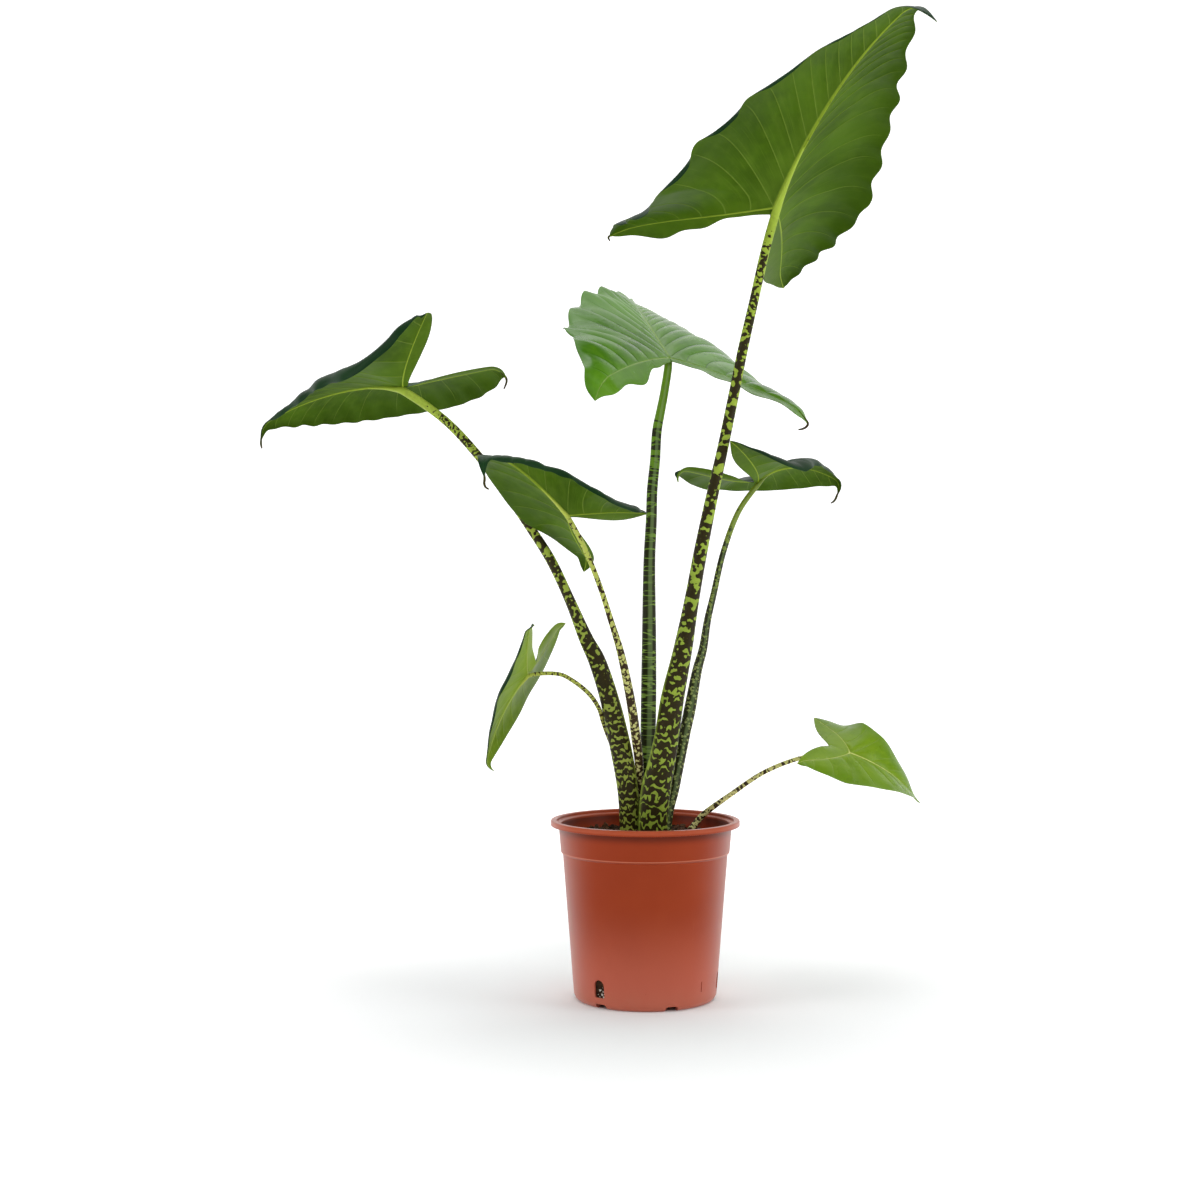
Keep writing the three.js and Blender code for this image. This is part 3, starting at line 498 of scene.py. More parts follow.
def mark_height(f, kind, at, up, size, tall):
    """How far each point of a stalk stands from its ground, which the marks' threshold is set against, the
    edge's blur, and the rag that frays it. lines: from the middle of a warped noise, so the ground is wavy
    lines; zebra: below bands across the stalk, shifted up and down by a noise, which give way to a noise's
    blobs higher up, small near the blade; spots: from the points of a cell pattern; cells: from its
    walls."""
    p = f.stretch(at, 1 / size, 1 / size, 1 / tall)
    warp = f.noise(p, 0.9, 3, 0.6, out="Color")
    bend = {"lines": (0.8, 0.8, 0.7), "zebra": (0.7, 0.7, 0.6)}.get(kind, (1.5, 1.5, 1.1))
    warped = f.node("VectorMath", 0, {0: warp, 1: bend, 2: p}, operation="MULTIPLY_ADD")
    rag = f.noise(p, 2.6, 3, 0.6)

    def frayed(value, by):
        return f.sum(value, f.span(rag, 0.2, 0.8, -by, by, False))

    def mixed(share, a, b):
        return f.sum(f.sum(a, share, "MULTIPLY"), f.sum(b, f.sum(1.0, share, "SUBTRACT"), "MULTIPLY"))

    if kind == "lines":
        band = f.sum(f.noise(warped, 1.0, 1.0, 0.5), 0.5, "SUBTRACT")
        return frayed(f.sum(band, 0, "ABSOLUTE"), 0.02), 0.008, rag, p
    if kind == "zebra":
        blobs = mixed(f.span(up, 0.74, 0.9), f.noise(warped, 1.7, 0.5, 0.4), f.noise(warped, 1.0, 0.5, 0.4))
        blobs = f.span(blobs, 0.22, 0.78, 0, 1, False)
        shift = f.noise(f.stretch(at, 1 / size, 1 / size, 1 / (2.6 * tall)), 1.0, 1.0, 0.5)
        turn = f.sum(f.node("SeparateXYZ", "Z", {"Vector": at}), 2 * np.pi / (2.0 * tall), "MULTIPLY")
        bands = f.sum(f.sum(turn, f.sum(shift, 15.0, "MULTIPLY")), 0, "SINE")
        bands = f.span(bands, -1.0, 1.0, 0.1, 0.9, False)
        value = mixed(f.span(up, 0.08, 0.45, 0.6, 0.12), bands, blobs)
        return f.sum(1.0, frayed(value, 0.03), "SUBTRACT"), 0.03, rag, p
    near, blur = ("F1", 0.035) if kind == "spots" else ("DISTANCE_TO_EDGE", 0.022)
    cells = {"Vector": warped, "Scale": 1.0, "Randomness": 1.0}
    return frayed(f.node("TexVoronoi", "Distance", cells, feature=near), 0.13), blur, rag, p


def stalk_finish(name, kind, ground, ground_top, dark, marks, size, tall, painted_sheen_stripe=0.0, rough=0.42):
    """Stalk skin: dark marks and a yellow-green ground in straightened stalk millimetres, size across and
    tall up. marks gives the height past which a mark is dark, at shares of the stalk's length; a painted
    sheen pales a narrow band down the front."""
    f = Finish(name, IOR=1.45, Specular_IOR_Level=0.16)
    at = f.field("mark", "Vector")
    up = f.field("up")
    height, blur, rag, p = mark_height(f, kind, at, up, size, tall)
    ramp = f.node("ValToRGB", 0, {0: up})
    stops = ramp.node.color_ramp.elements
    while len(stops) < len(marks):
        stops.new(0.5)
    for stop, (place, value) in zip(stops, marks):
        stop.position = place
        stop.color = (value, value, value, 1)
    bare = f.span(up, 0.985, 1.005)
    mask = f.span(f.sum(height, ramp, "SUBTRACT"), -blur, blur)
    mask = f.sum(mask, f.sum(1.0, bare, "SUBTRACT"), "MULTIPLY")
    base = f.blend(f.span(up, 0.25, 0.95), ground, ground_top)
    base = f.blend(f.span(f.noise(p, 1.4, 3), 0.3, 0.75, 0, 0.4), base, times(ground, 0.6))
    base = f.blend(bare, base, ground_top)
    bark = f.blend(f.span(rag, 0.3, 0.8, 0, 0.5), dark, times(dark, 1.9))
    colour = f.blend(mask, base, bark)
    colour = f.blend(f.sum(f.field("lip"), 0.8, "MULTIPLY"), colour, ground)
    # Painted sheen: a pale band down the stalk's front, where the face field is high.
    front = f.sum(f.span(f.field("face"), 0.9, 0.995), painted_sheen_stripe, "MULTIPLY")
    colour = f.blend(front, colour, linear(138, 164, 104))
    ridges = f.noise(f.stretch(at, 1.6, 1.6, 0.05), 1.0, 2)
    lift = f.bump(ridges, 0.35, 0.0005)
    lift = f.bump(f.noise(at, 2.4, 2), 0.15, 0.0002, lift)
    return f.done(Base_Color=colour, Roughness=f.span(rag, 0.2, 0.8, rough - 0.05, rough + 0.05), Normal=lift)


def pot_finish():
    """Satin moulded plastic: terracotta, a little uneven, with fine upright scuffs and dust at the foot, and
    painted light: a painted reflection of the floor on the lower body, painted shade under the lip, a painted
    highlight on the lip and a painted highlight line at the step.
    """
    f = Finish("satin_terracotta_plastic", IOR=1.48, Specular_IOR_Level=0.3)
    where = f.where()
    soft = f.noise(where, 9, 3)
    colour = f.blend(f.span(soft, 0.3, 0.7), linear(148, 54, 22), linear(158, 62, 28))
    z = f.node("SeparateXYZ", "Z", {"Vector": where})
    # Painted reflection: the lower body turns paler and pinker towards the foot, as if the pale floor lit it.
    colour = f.blend(f.span(z, 0.11, 0.005, 0, 0.9), colour, linear(192, 100, 80))
    dust = f.sum(f.span(z, 0.03, 0.0, 0, 0.5), f.noise(where, 60, 4, 0.7), "MULTIPLY")
    colour = f.blend(dust, colour, linear(184, 118, 94))
    # Painted shade: the collar darkens just under the lip, where the lip's overhang shades it.
    painted_shade_under_lip = f.sum(f.span(z, 0.163, 0.1735, 0.0, 0.75), f.span(z, 0.1738, 0.1744, 1.0, 0.0), "MULTIPLY")
    colour = f.blend(painted_shade_under_lip, colour, linear(92, 32, 16))
    # Painted highlight: the lip's top is lighter, as if lit from above.
    colour = f.blend(f.span(z, 0.1745, 0.177, 0, 0.55), colour, linear(186, 92, 62))
    # Painted highlight: a thin light line along the step.
    step = f.sum(f.span(z, 0.1475, 0.1483), f.span(z, 0.1484, 0.1492, 1, 0), "MULTIPLY")
    colour = f.blend(f.sum(step, 0.6, "MULTIPLY"), colour, linear(206, 130, 104))
    scuff = f.noise(f.stretch(where, 60, 60, 5), 6.0, 4, 0.7)
    marks = f.span(scuff, 0.66, 0.8, 0, 0.35)
    colour = f.blend(marks, colour, linear(184, 104, 76))
    spots = f.noise(where, 420, 2)
    colour = f.blend(f.span(spots, 0.74, 0.8, 0, 0.3), colour, linear(120, 50, 32))
    rough = f.sum(f.span(soft, 0.3, 0.7, 0.34, 0.42), f.sum(marks, 0.4, "MULTIPLY"))
    lift = f.bump(f.noise(where, 700, 2), 0.12, 0.0002)
    lift = f.bump(f.noise(where, 30, 2), 0.12, 0.0012, lift)
    sheen = f.span(f.node("LayerWeight", "Facing", {"Blend": 0.5}), 0.2, 0.9, 0.12, 0.9)
    return f.done(Base_Color=colour, Roughness=rough, Normal=lift, Specular_IOR_Level=sheen)


def soil_finish(name, dark, light, fleck, flecked, rough=0.95):
    """Crumbly mix: dark and light brown in clouds with flecks, and a coarse to fine bump."""
    f = Finish(name, IOR=1.4, Specular_IOR_Level=0.1)
    where = f.where()
    clods = f.noise(where, 180, 6, 0.7)
    colour = f.blend(f.span(clods, 0.3, 0.72), dark, light)
    flecks = f.node("TexVoronoi", "Distance", {"Vector": where, "Scale": 420.0, "Randomness": 1.0})
    colour = f.blend(f.span(flecks, 0.2, 0.12, 0, flecked), colour, fleck)
    lift = f.bump(clods, 0.9, 0.0016)
    lift = f.bump(f.noise(where, 1400, 3, 0.7), 0.6, 0.0004, lift)
    return f.done(Base_Color=colour, Roughness=rough, Normal=lift)


def dry_tip():
    """The leaf's dried drip tip: olive to brown in small clouds, dull."""
    f = Finish("dry_leaf_tip", Roughness=0.6, Specular_IOR_Level=0.1)
    cloud = f.noise(f.where(), 160, 3)
    colour = f.blend(f.span(cloud, 0.35, 0.65), linear(62, 66, 22), linear(58, 40, 22))
    return f.done(Base_Color=colour, Normal=f.bump(cloud, 0.3, 0.0003))


DRY_TIP = dry_tip()
GROWN_UNDER = leaf_finish(
    "leaf_underside", linear(56, 84, 4), linear(74, 106, 12), linear(98, 126, 36), linear(128, 152, 60),
    linear(152, 176, 56),
    rough=0.5, gloss=0.08, vein_strength=0.6, bump=0.22,
)
# Two copies of one leaf's upper side. The dark one is deep green with painted shade, for the rolled-over
# strips of leaves 1, 2, 4, 5 and 6. The bright, glossier one has painted light, for leaf 3's upper face; its
# veins are darker than its greens, as painted shade in their grooves.
DARK_SHADED_UPPER = leaf_finish(
    "leaf_upper_dark", linear(14, 44, 18), linear(24, 60, 26), linear(36, 76, 36), linear(48, 90, 44),
    linear(104, 136, 66),
    rough=0.42, gloss=0.1, vein_strength=0.5, bump=0.3,
)
BRIGHT_LIT_UPPER = leaf_finish(
    "leaf_upper_bright_lit", linear(64, 112, 14), linear(84, 136, 22), linear(112, 158, 44), linear(40, 88, 20),
    linear(140, 172, 84),
    rough=0.27, gloss=0.19, vein_strength=0.7, bump=0.3,
)
YOUNG_UNDER = leaf_finish(
    "young_underside", linear(94, 124, 18), linear(120, 150, 34), linear(150, 174, 66), linear(160, 184, 80),
    linear(172, 190, 96),
    rough=0.42, gloss=0.14, vein_strength=0.5, bump=0.22,
)
YOUNG_UPPER = leaf_finish(
    "young_upper", linear(88, 126, 2), linear(114, 148, 12), linear(142, 170, 40), linear(154, 180, 66),
    linear(212, 220, 128),
    rough=0.25, gloss=0.24, vein_strength=0.6, bump=0.3,
)
LEAF_FINISHES = [
    (DARK_SHADED_UPPER, GROWN_UNDER), (DARK_SHADED_UPPER, GROWN_UNDER), (BRIGHT_LIT_UPPER, GROWN_UNDER),
    (DARK_SHADED_UPPER, GROWN_UNDER), (DARK_SHADED_UPPER, GROWN_UNDER), (DARK_SHADED_UPPER, YOUNG_UNDER),
    (YOUNG_UPPER, YOUNG_UNDER),
]
# How far each blade's bays puff up between the side veins, in millimetres for a blade 290 long.
QUILT = [0.75, 0.8, 1.4, 1.0, 1.0, 0.8, 1.2]

# Blades


def blade_outline(width, lobe, sinus, scoop):
    """The blade laid flat, for a length of 1 from the stalk's seat (0, 0) to the apex (0, 1): the margin from
    apex to lobe tip in two Bezier spans, the lobe's own vein in one, and the inner edge from the sinus to the
    lobe tip."""
    tip = np.array([0.44 * width * lobe, -0.44 * lobe])
    widest = (0.45 * width, -0.1)
    margin = np.vstack([
        bezier([(0, 1), (0.06 * width, 0.78), (0.42 * width, 0.24), widest]),
        bezier([widest, (0.465 * width, -0.26), (tip[0] * 1.08, tip[1] * 0.8), tip])[1:],
    ])
    vein = bezier([(0, 0), (0.2 * width * lobe, -0.13 * lobe), tip])
    hollow = (scoop * width * lobe, -0.09 * lobe - sinus)
    inner = bezier([(0, -sinus), hollow, (0.2 * width * lobe, -0.38 * lobe), tip])
    return margin, vein, inner, tip


def midrib(leaf):
    """The midrib's points and frames from seat to apex: a unit step ahead at each share q, turned sideways by
    sway times q and downwards by bend times q, plus hook over the last part."""
    h, c = leaf["heading"] * DEG, leaf["climb"] * DEG
    d = np.array([np.cos(c) * np.cos(h), np.cos(c) * np.sin(h), np.sin(c)])
    level = np.array([0, 0, 1]) - d * d[2]
    level /= np.linalg.norm(level)
    n = turned(level, np.cross(d, level), leaf["roll"])[0]
    r = np.cross(d, n)
    q = np.linspace(0, 1, RIB_STEPS + 1)
    ahead, across = turned(d[None], r[None], leaf["sway"] * q)
    forward, upper = turned(ahead, n[None], leaf["bend"] * q + leaf["hook"] * smooth((q - 0.84) / 0.16))
    at = np.vstack([np.zeros(3), np.cumsum((forward[1:] + forward[:-1]) / (2 * RIB_STEPS), axis=0)])
    return dict(q=q, at=at, forward=forward, upper=upper, across=across, d=d, n=n, r=r)


def half_rows(leaf, rib, sign):
    """Tables along one half of a blade, by the row share s from apex (0) over the seat to the lobe tip (1):
    the row's foot on the vein, its chord to the margin, its normal, its bulge and its share of the
    margin."""
    half = leaf["right"] if sign > 0 else leaf["left"]
    margin, vein, inner, tip = blade_outline(leaf["width"], leaf["lobe"], leaf["sinus"], half["scoop"])
    cu, cv = tip / np.linalg.norm(tip)
    o, w0 = turned(sign * rib["r"], rib["n"], half["fold"])
    u0, v0 = cu * o + cv * rib["d"], cu * rib["d"] - cv * o

    def frames(b):
        turn = smooth((b + 0.3) / 0.8)
        u, w = turned(u0[None], w0[None], half["pitch"] * turn + half["hook"] * smooth((b - 0.78) / 0.22))
        v, w = turned(v0[None], w, half["twist"] * turn)
        return u, v, w

    q = rib["q"][::-1]
    a = 1 - q
    at, forward, upper, across = (rib[k][::-1] for k in ("at", "forward", "upper", "across"))
    fold = half["fold"] + (half["fold_tip"] - half["fold"]) * q
    out, normal = turned(sign * across, upper, fold)
    share = FRONT_SHARE * a**1.08
    m = along_line(margin, share) - np.c_[0 * q, q]
    u, v, w = frames(-q)

    def carried(x):
        return (x @ u0)[:, None] * u + (x @ v0)[:, None] * v + (x @ w0)[:, None] * w

    front = dict(
        s=SEAT_SHARE * a, at=at, chord=carried(m[:, :1] * out + m[:, 1:] * forward),
        bulge=carried(m[:, :1] * forward - m[:, 1:] * out), normal=carried(normal), share=share,
    )
    b = np.linspace(0, 1, 121)
    u, v, w = frames(b)

    def into(xy):
        return (xy @ (cu, cv))[:, None] * u + (xy @ (-cv, cu))[:, None] * v

    foot = along_line(vein, b)
    step = np.diff(foot, axis=0)
    mid = lambda x: (x[1:] + x[:-1]) / 2
    walk = (step @ (cu, cv))[:, None] * mid(u) + (step @ (-cv, cu))[:, None] * mid(v)
    at = np.vstack([np.zeros(3), np.cumsum(walk, axis=0)])
    share = FRONT_SHARE + (1 - FRONT_SHARE) * b
    m = along_line(margin, share) - foot
    edge = along_line(inner, b) - foot
    lobe = dict(
        s=SEAT_SHARE + (1 - SEAT_SHARE) * b, at=at, chord=into(m), bulge=into(np.c_[-m[:, 1], m[:, 0]]),
        normal=w, share=share,
    )
    rows = {k: np.concatenate([front[k][:-1], lobe[k]]) for k in front}
    back = dict(s=lobe["s"], at=at, chord=into(edge), normal=w, b=b)
    return rows, back, half


def read(table, key, s):
    """A table's value at the row shares s, straight between its entries."""
    value = table[key]
    if value.ndim == 1:
        return np.interp(s, table["s"], value)
    return np.stack([np.interp(s, table["s"], value[:, k]) for k in range(3)], -1)


def outer_half(leaf, rows, half, s, t):
    """The blade between vein and margin: foot + chord times the running mean of cos(curl) + normal times
    chord length times the running mean of sin(curl), where curl grows by cup, past ROLL_FROM by roll, and
    past LIP_FROM by lip in the ripple's hollows. On top lie a sideways bulge 0.2 t (1 - t) and the margin's
    ripple, a sine of the margin share: wave times t to the 2.5 along the local normal and scallop times t to
    the 4 outwards."""
    chord, normal, share = read(rows, "chord", s), read(rows, "normal", s), read(rows, "share", s)
    length = np.linalg.norm(chord, axis=-1, keepdims=True)
    beat = 2 * np.pi * (half["waves"] * share + half["quicken"] * share**2) + half["phase"]
    ripple = np.sin(beat) * (0.78 + 0.22 * np.sin(0.37 * beat + 1))
    calm = smooth(share / 0.12) * smooth((1 - share) / 0.08)
    lip = half["lip"] * (0.5 - 0.5 * ripple) * smooth(share / 0.06) * smooth((1 - share) / 0.2)

    def curl(x):
        tail = half["roll"] * smooth((x - ROLL_FROM) / (1 - ROLL_FROM))
        tail = tail + lip[..., None] * smooth((x - LIP_FROM) / (1 - LIP_FROM))
        return (half["cup"] * x + tail) * DEG

    angle = curl(t[..., None] * np.linspace(0, 1, 61))
    mean = lambda f: (t * ((f[..., 1:] + f[..., :-1]) / 120).sum(-1))[..., None]
    ahead, up, turn = mean(np.cos(angle)), mean(np.sin(angle)), angle[..., -1:]
    flat = chord / np.maximum(length, 1e-9)
    wave, scallop = ((half[k] / leaf["length"] * ripple * calm)[..., None] for k in ("wave", "scallop"))
    t = t[..., None]
    place = read(rows, "at", s) + ahead * chord + up * length * normal
    place = place + 0.2 * t * (1 - t) * read(rows, "bulge", s)
    place = place + wave * t**2.5 * (normal * np.cos(turn) - flat * np.sin(turn))
    place = place + scallop * t**4 * (flat * np.cos(turn) + normal * np.sin(turn))
    return place, length[..., 0] * leaf["length"]


def inner_half(leaf, back, half, s, t):
    """The strip between the lobe's vein and the sinus: foot + chord and normal parts of an arc that turns
    by the inner curl, which grows over the first third of the lobe, plus a frill: a sine along the lobe
    times the square of the way to the edge, outwards."""
    curl = (half["inner"] * smooth((s - SEAT_SHARE) / (1 - SEAT_SHARE) / 0.3) * DEG + 1e-6)[..., None]
    chord = read(back, "chord", s)
    length = np.linalg.norm(chord, axis=-1, keepdims=True)
    normal = read(back, "normal", s)
    b = (s - SEAT_SHARE) / (1 - SEAT_SHARE)
    frill = half["frill"] / leaf["length"] * np.sin(2 * np.pi * half["frills"] * b + 0.6)
    frill = (frill * smooth((b - 0.12) / 0.15) * smooth((1 - b) / 0.12) * t**2)[..., None]
    t = t[..., None]
    place = read(back, "at", s) + chord * np.sin(curl * t) / curl
    place = place + normal * length * (1 - np.cos(curl * t)) / curl
    return place + frill * chord / np.maximum(length, 1e-9), length[..., 0] * leaf["length"]


def lean(v):
    """How far a side vein leans towards the apex by the time it reaches the margin, in row share."""
    return 0.17 * smooth(v / 0.5) * smooth((1 - v) / 0.42)


def vein_rows(leaf, rows, half, gap):
    """Row places: each primary vein gets a row on it and three close on either side, and the bays between are
    filled at about the gap, all measured in millimetres half way to the margin."""
    v = np.linspace(0, 1, 400)
    p, _ = outer_half(leaf, rows, half, v - lean(v) * 0.43, np.full(400, 0.5))
    run = np.r_[0, np.cumsum(np.linalg.norm(np.diff(p * leaf["length"], axis=0), axis=1))]
    nf, nl = leaf["front_veins"], leaf["lobe_veins"]
    front = SEAT_SHARE * (1 - 0.93 * (np.arange(nf) / nf) ** 0.92)
    lobe = SEAT_SHARE + (1 - SEAT_SHARE) * 0.9 * (np.arange(1, nl + 1) / (nl + 0.6)) ** 1.1
    veins = np.sort(np.r_[front, lobe])
    near = np.array([-1.5, -0.8, -0.35, 0, 0.35, 0.8, 1.5]) * min(1, leaf["length"] / 220)
    places = [run[0], run[-1]]
    for x in np.interp(veins, v, run):
        places += [y for y in x + near if 0 < y < run[-1]]
    places = np.unique(np.round(places, 4))
    filled = [places[0]]
    for a, b in zip(places[:-1], places[1:]):
        filled += np.linspace(a, b, int(np.ceil((b - a) / gap)) + 1)[1:].tolist()
    rows_at = np.interp(filled, run, v)
    seat = np.argmin(np.abs(rows_at - SEAT_SHARE))
    rows_at[seat] = SEAT_SHARE
    return rows_at, veins, seat


def blade_columns(count):
    """Column places: close along the vein, even across the blade and close again at the margin."""
    near = np.array([0, 0.006, 0.013, 0.021, 0.031, 0.046, 0.068])
    return np.r_[near, np.linspace(0.1, 0.9, count), 0.925, 0.95, 0.972, 0.988, 1.0]


def rib_relief(v, from_rib, scale):
    """The midrib and the lobes' veins as a ridge of round section: full at the seat and thinner to both
    ends. Gives how much of the ridge a point is on, its height in millimetres, and how far it has the rib's
    colour."""
    lobe = (v - SEAT_SHARE) / (1 - SEAT_SHARE)
    strong = smooth(v / 0.1 + 0.15) * np.where(v < SEAT_SHARE, (v / SEAT_SHARE) ** 0.85, 1 - LOBE_THIN * lobe)
    keel = (KEEL - KEEL_LESS * smooth((v - SEAT_SHARE) / 0.02)) * strong * scale
    away = from_rib / np.maximum(keel, 0.3)
    ridge = 1 - smooth(away)
    tall = RIB_RISE * scale * strong * ridge * np.where(v > SEAT_SHARE, RIB_LOBE, 1)
    return ridge, tall, 1 - smooth((away - 0.45) / 0.5)


def blade_sheets(leaf, rib, scale):
    """The blade's middle surface in four sheets, an outer and an inner one on each half, for a length of 1.
    Each sheet has its corners, its cells, its fields (side vein, rib colour, puff, ridge height, thickness)
    and its flat map: x counts the side veins and y runs from the vein to the edge."""
    columns = blade_columns(24 if leaf["length"] > 150 else 18)
    inner_columns = np.r_[0, 0.03, 0.07, 0.13, np.linspace(0.22, 1, 9)]
    sheets, ends = [], {"apex": rib["at"][[-9, -1]]}

    def add(place, turned_in, fields, along, across):
        cells = grid_faces(*along.shape)
        cells = cells[:, ::-1] if turned_in else cells
        fields = np.stack([x.ravel() for x in fields], -1)
        sheets.append((place.reshape(-1, 3), cells, fields, np.stack([along.ravel(), across.ravel()], -1)))

    for sign in (1, -1):
        rows, back, half = half_rows(leaf, rib, sign)
        ends["right" if sign > 0 else "left"] = rows["at"][[-12, -1]]
        v, veins, seat = vein_rows(leaf, rows, half, 2.4 * scale)
        bays, map_turn = len(veins) + 1, 0 if sign > 0 else 40
        vv, tt = np.meshgrid(v, columns, indexing="ij")
        ss = vv - lean(vv) * tt * (1 - 0.28 * tt) / 0.72
        place, width = outer_half(leaf, rows, half, ss, tt)
        nearest = veins[np.argmin(np.abs(vv[..., None] - veins), axis=-1)]
        edges = np.r_[0, veins, 1]
        bay = np.clip(np.searchsorted(edges, vv, side="right") - 1, 0, len(edges) - 2)
        phase = (vv - edges[bay]) / (edges[bay + 1] - edges[bay])
        step = np.linalg.norm(np.gradient(place, axis=0), axis=-1) / np.maximum(np.gradient(v)[:, None], 1e-6)
        away = np.abs(vv - nearest) * step * leaf["length"]
        thin = (0.48 - 0.34 * tt) * scale
        vein = np.exp(-((away / (thin * 1.15)) ** 2)) * smooth(tt / 0.03) * (1 - smooth((tt - 0.8) / 0.2))
        vein = vein * smooth(vv / 0.08)
        puff = np.sin(np.pi * phase) * smooth(tt / 0.12) * (1 - smooth((tt - 0.7) / 0.3))
        puff = puff * np.minimum(1, width / 40)
        ridge, tall, colour = rib_relief(vv, tt * width, scale)
        tall = tall + VEIN_RISE * scale * vein * (1 - ridge)
        thick = BLADE + (EDGE - BLADE) * smooth((tt - 0.85) / 0.15)
        add(place, sign < 0, (vein, colour, puff, tall, thick), vv * bays + map_turn, tt)

        vi, ti = np.meshgrid(v[seat:], inner_columns, indexing="ij")
        place, width = inner_half(leaf, back, half, vi, ti)
        _, tall, colour = rib_relief(vi, ti * width, scale)
        thick = BLADE + (EDGE - BLADE) * smooth((ti - 0.7) / 0.3)
        add(place, sign > 0, (0 * vi, colour, 0 * vi, tall, thick), vi * bays + map_turn + 20, -ti * 0.4)
    return sheets, ends


def make_blade(number, leaf):
    """One blade as a closed skin: both halves' sheets welded along the midrib, puffed up between the side
    veins, then a copy of the sheet on each side at half the thickness, the lower one thickened along the
    veins."""
    rib = midrib(leaf)
    scale = (leaf["length"] / FULL_LENGTH) ** 0.5
    sheets, ends = blade_sheets(leaf, rib, scale)
    start = np.cumsum([0] + [len(sheet[0]) for sheet in sheets])
    cells = np.concatenate([sheet[1] + first for sheet, first in zip(sheets, start)])
    points, fields, corner = (np.concatenate([sheet[k] for sheet in sheets]) for k in (0, 2, 3))
    points = points * leaf["length"] + np.array(leaf["seat"])
    first, kept, was = weld(points, cells)
    points, fields = points[first], fields[first]
    vein, colour, puff, tall, thick = fields.T[:, :, None]
    normals = corner_normals(points, kept)
    points = points + normals * puff * QUILT[number - 1] * scale
    normals = corner_normals(points, kept)
    upper = points + normals * (thick / 2 - 0.28 * vein - 0.5 * colour * scale)
    lower = points - normals * (thick / 2 + tall)
    n = len(points)
    rim = open_edges(kept)
    sides = np.stack([rim[:, 1], rim[:, 0], rim[:, 0] + n, rim[:, 1] + n], -1).tolist()
    under = [[i + n for i in reversed(f)] for f in kept]
    flat = [i for f in was for i in f] + [i for f in was for i in reversed(f)]
    uv = np.concatenate([corner[flat], np.zeros((4 * len(sides), 2))])
    fields = {"vein": np.r_[vein[:, 0], vein[:, 0]], "rib": np.r_[colour[:, 0], colour[:, 0]]}
    piece = make_piece(
        "leaf_blade_%d" % number, np.vstack([upper, lower]), kept + under + sides, LEAF_FINISHES[number - 1],
        [0] * len(kept) + [1] * (len(under) + len(sides)), fields, uv,
    )
    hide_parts("blade_%d" % number)
    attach(piece, "root")
    for of, end, way in TAILS:
        if of == number:
            vein_end = ends[end] * leaf["length"] + np.array(leaf["seat"])
            make_tail("leaf_tip_%d_%s" % (number, end), vein_end, way)
    return rib


def make_tail(name, vein, way):
    """A thin dry tip that goes on from a vein's end: rings on a curve, from 1.3 to 0.6 mm in half width."""
    steps, around = 24, 12
    path = [[*vein[0], 0.7], [*vein[1], 1.2]] + [[*(vein[1] + (x, 0, z)), 1.3] for x, z in way]
    at = spline(path, np.linspace(0, 1, steps))
    along = np.gradient(at[:, :3], axis=0)
    aside = np.cross(along, (0.2, 1, 0.1))
    aside /= np.linalg.norm(aside, axis=1)[:, None]
    back = np.cross(aside, along / np.linalg.norm(along, axis=1)[:, None])
    half = (at[:, 3] * (1 - 0.5 * np.linspace(0, 1, steps) ** 3))[:, None, None]
    a = (2 * np.pi * np.arange(around) / around)[None, :, None]
    rings = at[:, None, :3] + half * (np.cos(a) * aside[:, None] + 0.7 * np.sin(a) * back[:, None])
    points, faces = closed_rings(rings, at[:1, :3], at[-1:, :3], turned_in=True)
    piece = make_piece(name, points, faces, [DRY_TIP])
    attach(piece, "root")


# Stalks

BARK = linear(41, 35, 9)
STALK_FINISHES = [
    stalk_finish(
        "stalk_zebra_zigzag", "zebra", linear(148, 172, 62), linear(160, 184, 62), BARK,
        [(0, 0.37), (0.3, 0.37), (0.62, 0.41), (0.86, 0.48), (0.94, 0.54), (0.975, 0.95)],
        size=6.6, tall=4.8,
    ),
    stalk_finish(
        "stalk_zebra_spots", "zebra", linear(150, 166, 68), linear(160, 182, 64), BARK,
        [(0, 0.39), (0.3, 0.38), (0.6, 0.43), (0.85, 0.48), (0.91, 0.54), (0.955, 0.95)],
        size=5.0, tall=3.9,
    ),
    stalk_finish(
        "stalk_ladder_green", "lines", linear(124, 154, 66), linear(98, 142, 16), linear(34, 38, 12),
        [(0, 0.09), (0.14, 0.045), (0.45, 0.026), (0.72, 0.03), (0.86, 0.08), (0.94, 0.5)],
        size=40, tall=5.5, painted_sheen_stripe=0.4, rough=0.34,
    ),
    stalk_finish(
        "stalk_mottled_cream", "spots", linear(200, 198, 128), linear(178, 190, 80), linear(50, 36, 18),
        [(0, 0.4), (0.5, 0.46), (0.8, 0.54), (0.96, 0.66)],
        size=4.0, tall=3.7,
    ),
    stalk_finish(
        "stalk_grey_specks", "spots", linear(150, 160, 96), linear(118, 138, 34), linear(40, 42, 22),
        [(0, 0.38), (0.6, 0.37), (0.8, 0.46), (0.9, 0.9)],
        size=4.0, tall=3.2, painted_sheen_stripe=0.3, rough=0.34,
    ),
    stalk_finish(
        "stalk_banded_olive", "cells", linear(190, 190, 96), linear(176, 188, 80), linear(54, 42, 20),
        [(0, 0.09), (0.6, 0.11), (0.9, 0.15), (0.97, 0.2)],
        size=7.0, tall=3.4,
    ),
    stalk_finish(
        "stalk_banded_cream", "cells", linear(222, 216, 144), linear(204, 206, 124), linear(54, 42, 20),
        [(0, 0.11), (0.5, 0.14), (0.9, 0.24), (0.97, 0.42)],
        size=8.0, tall=4.8,
    ),
]


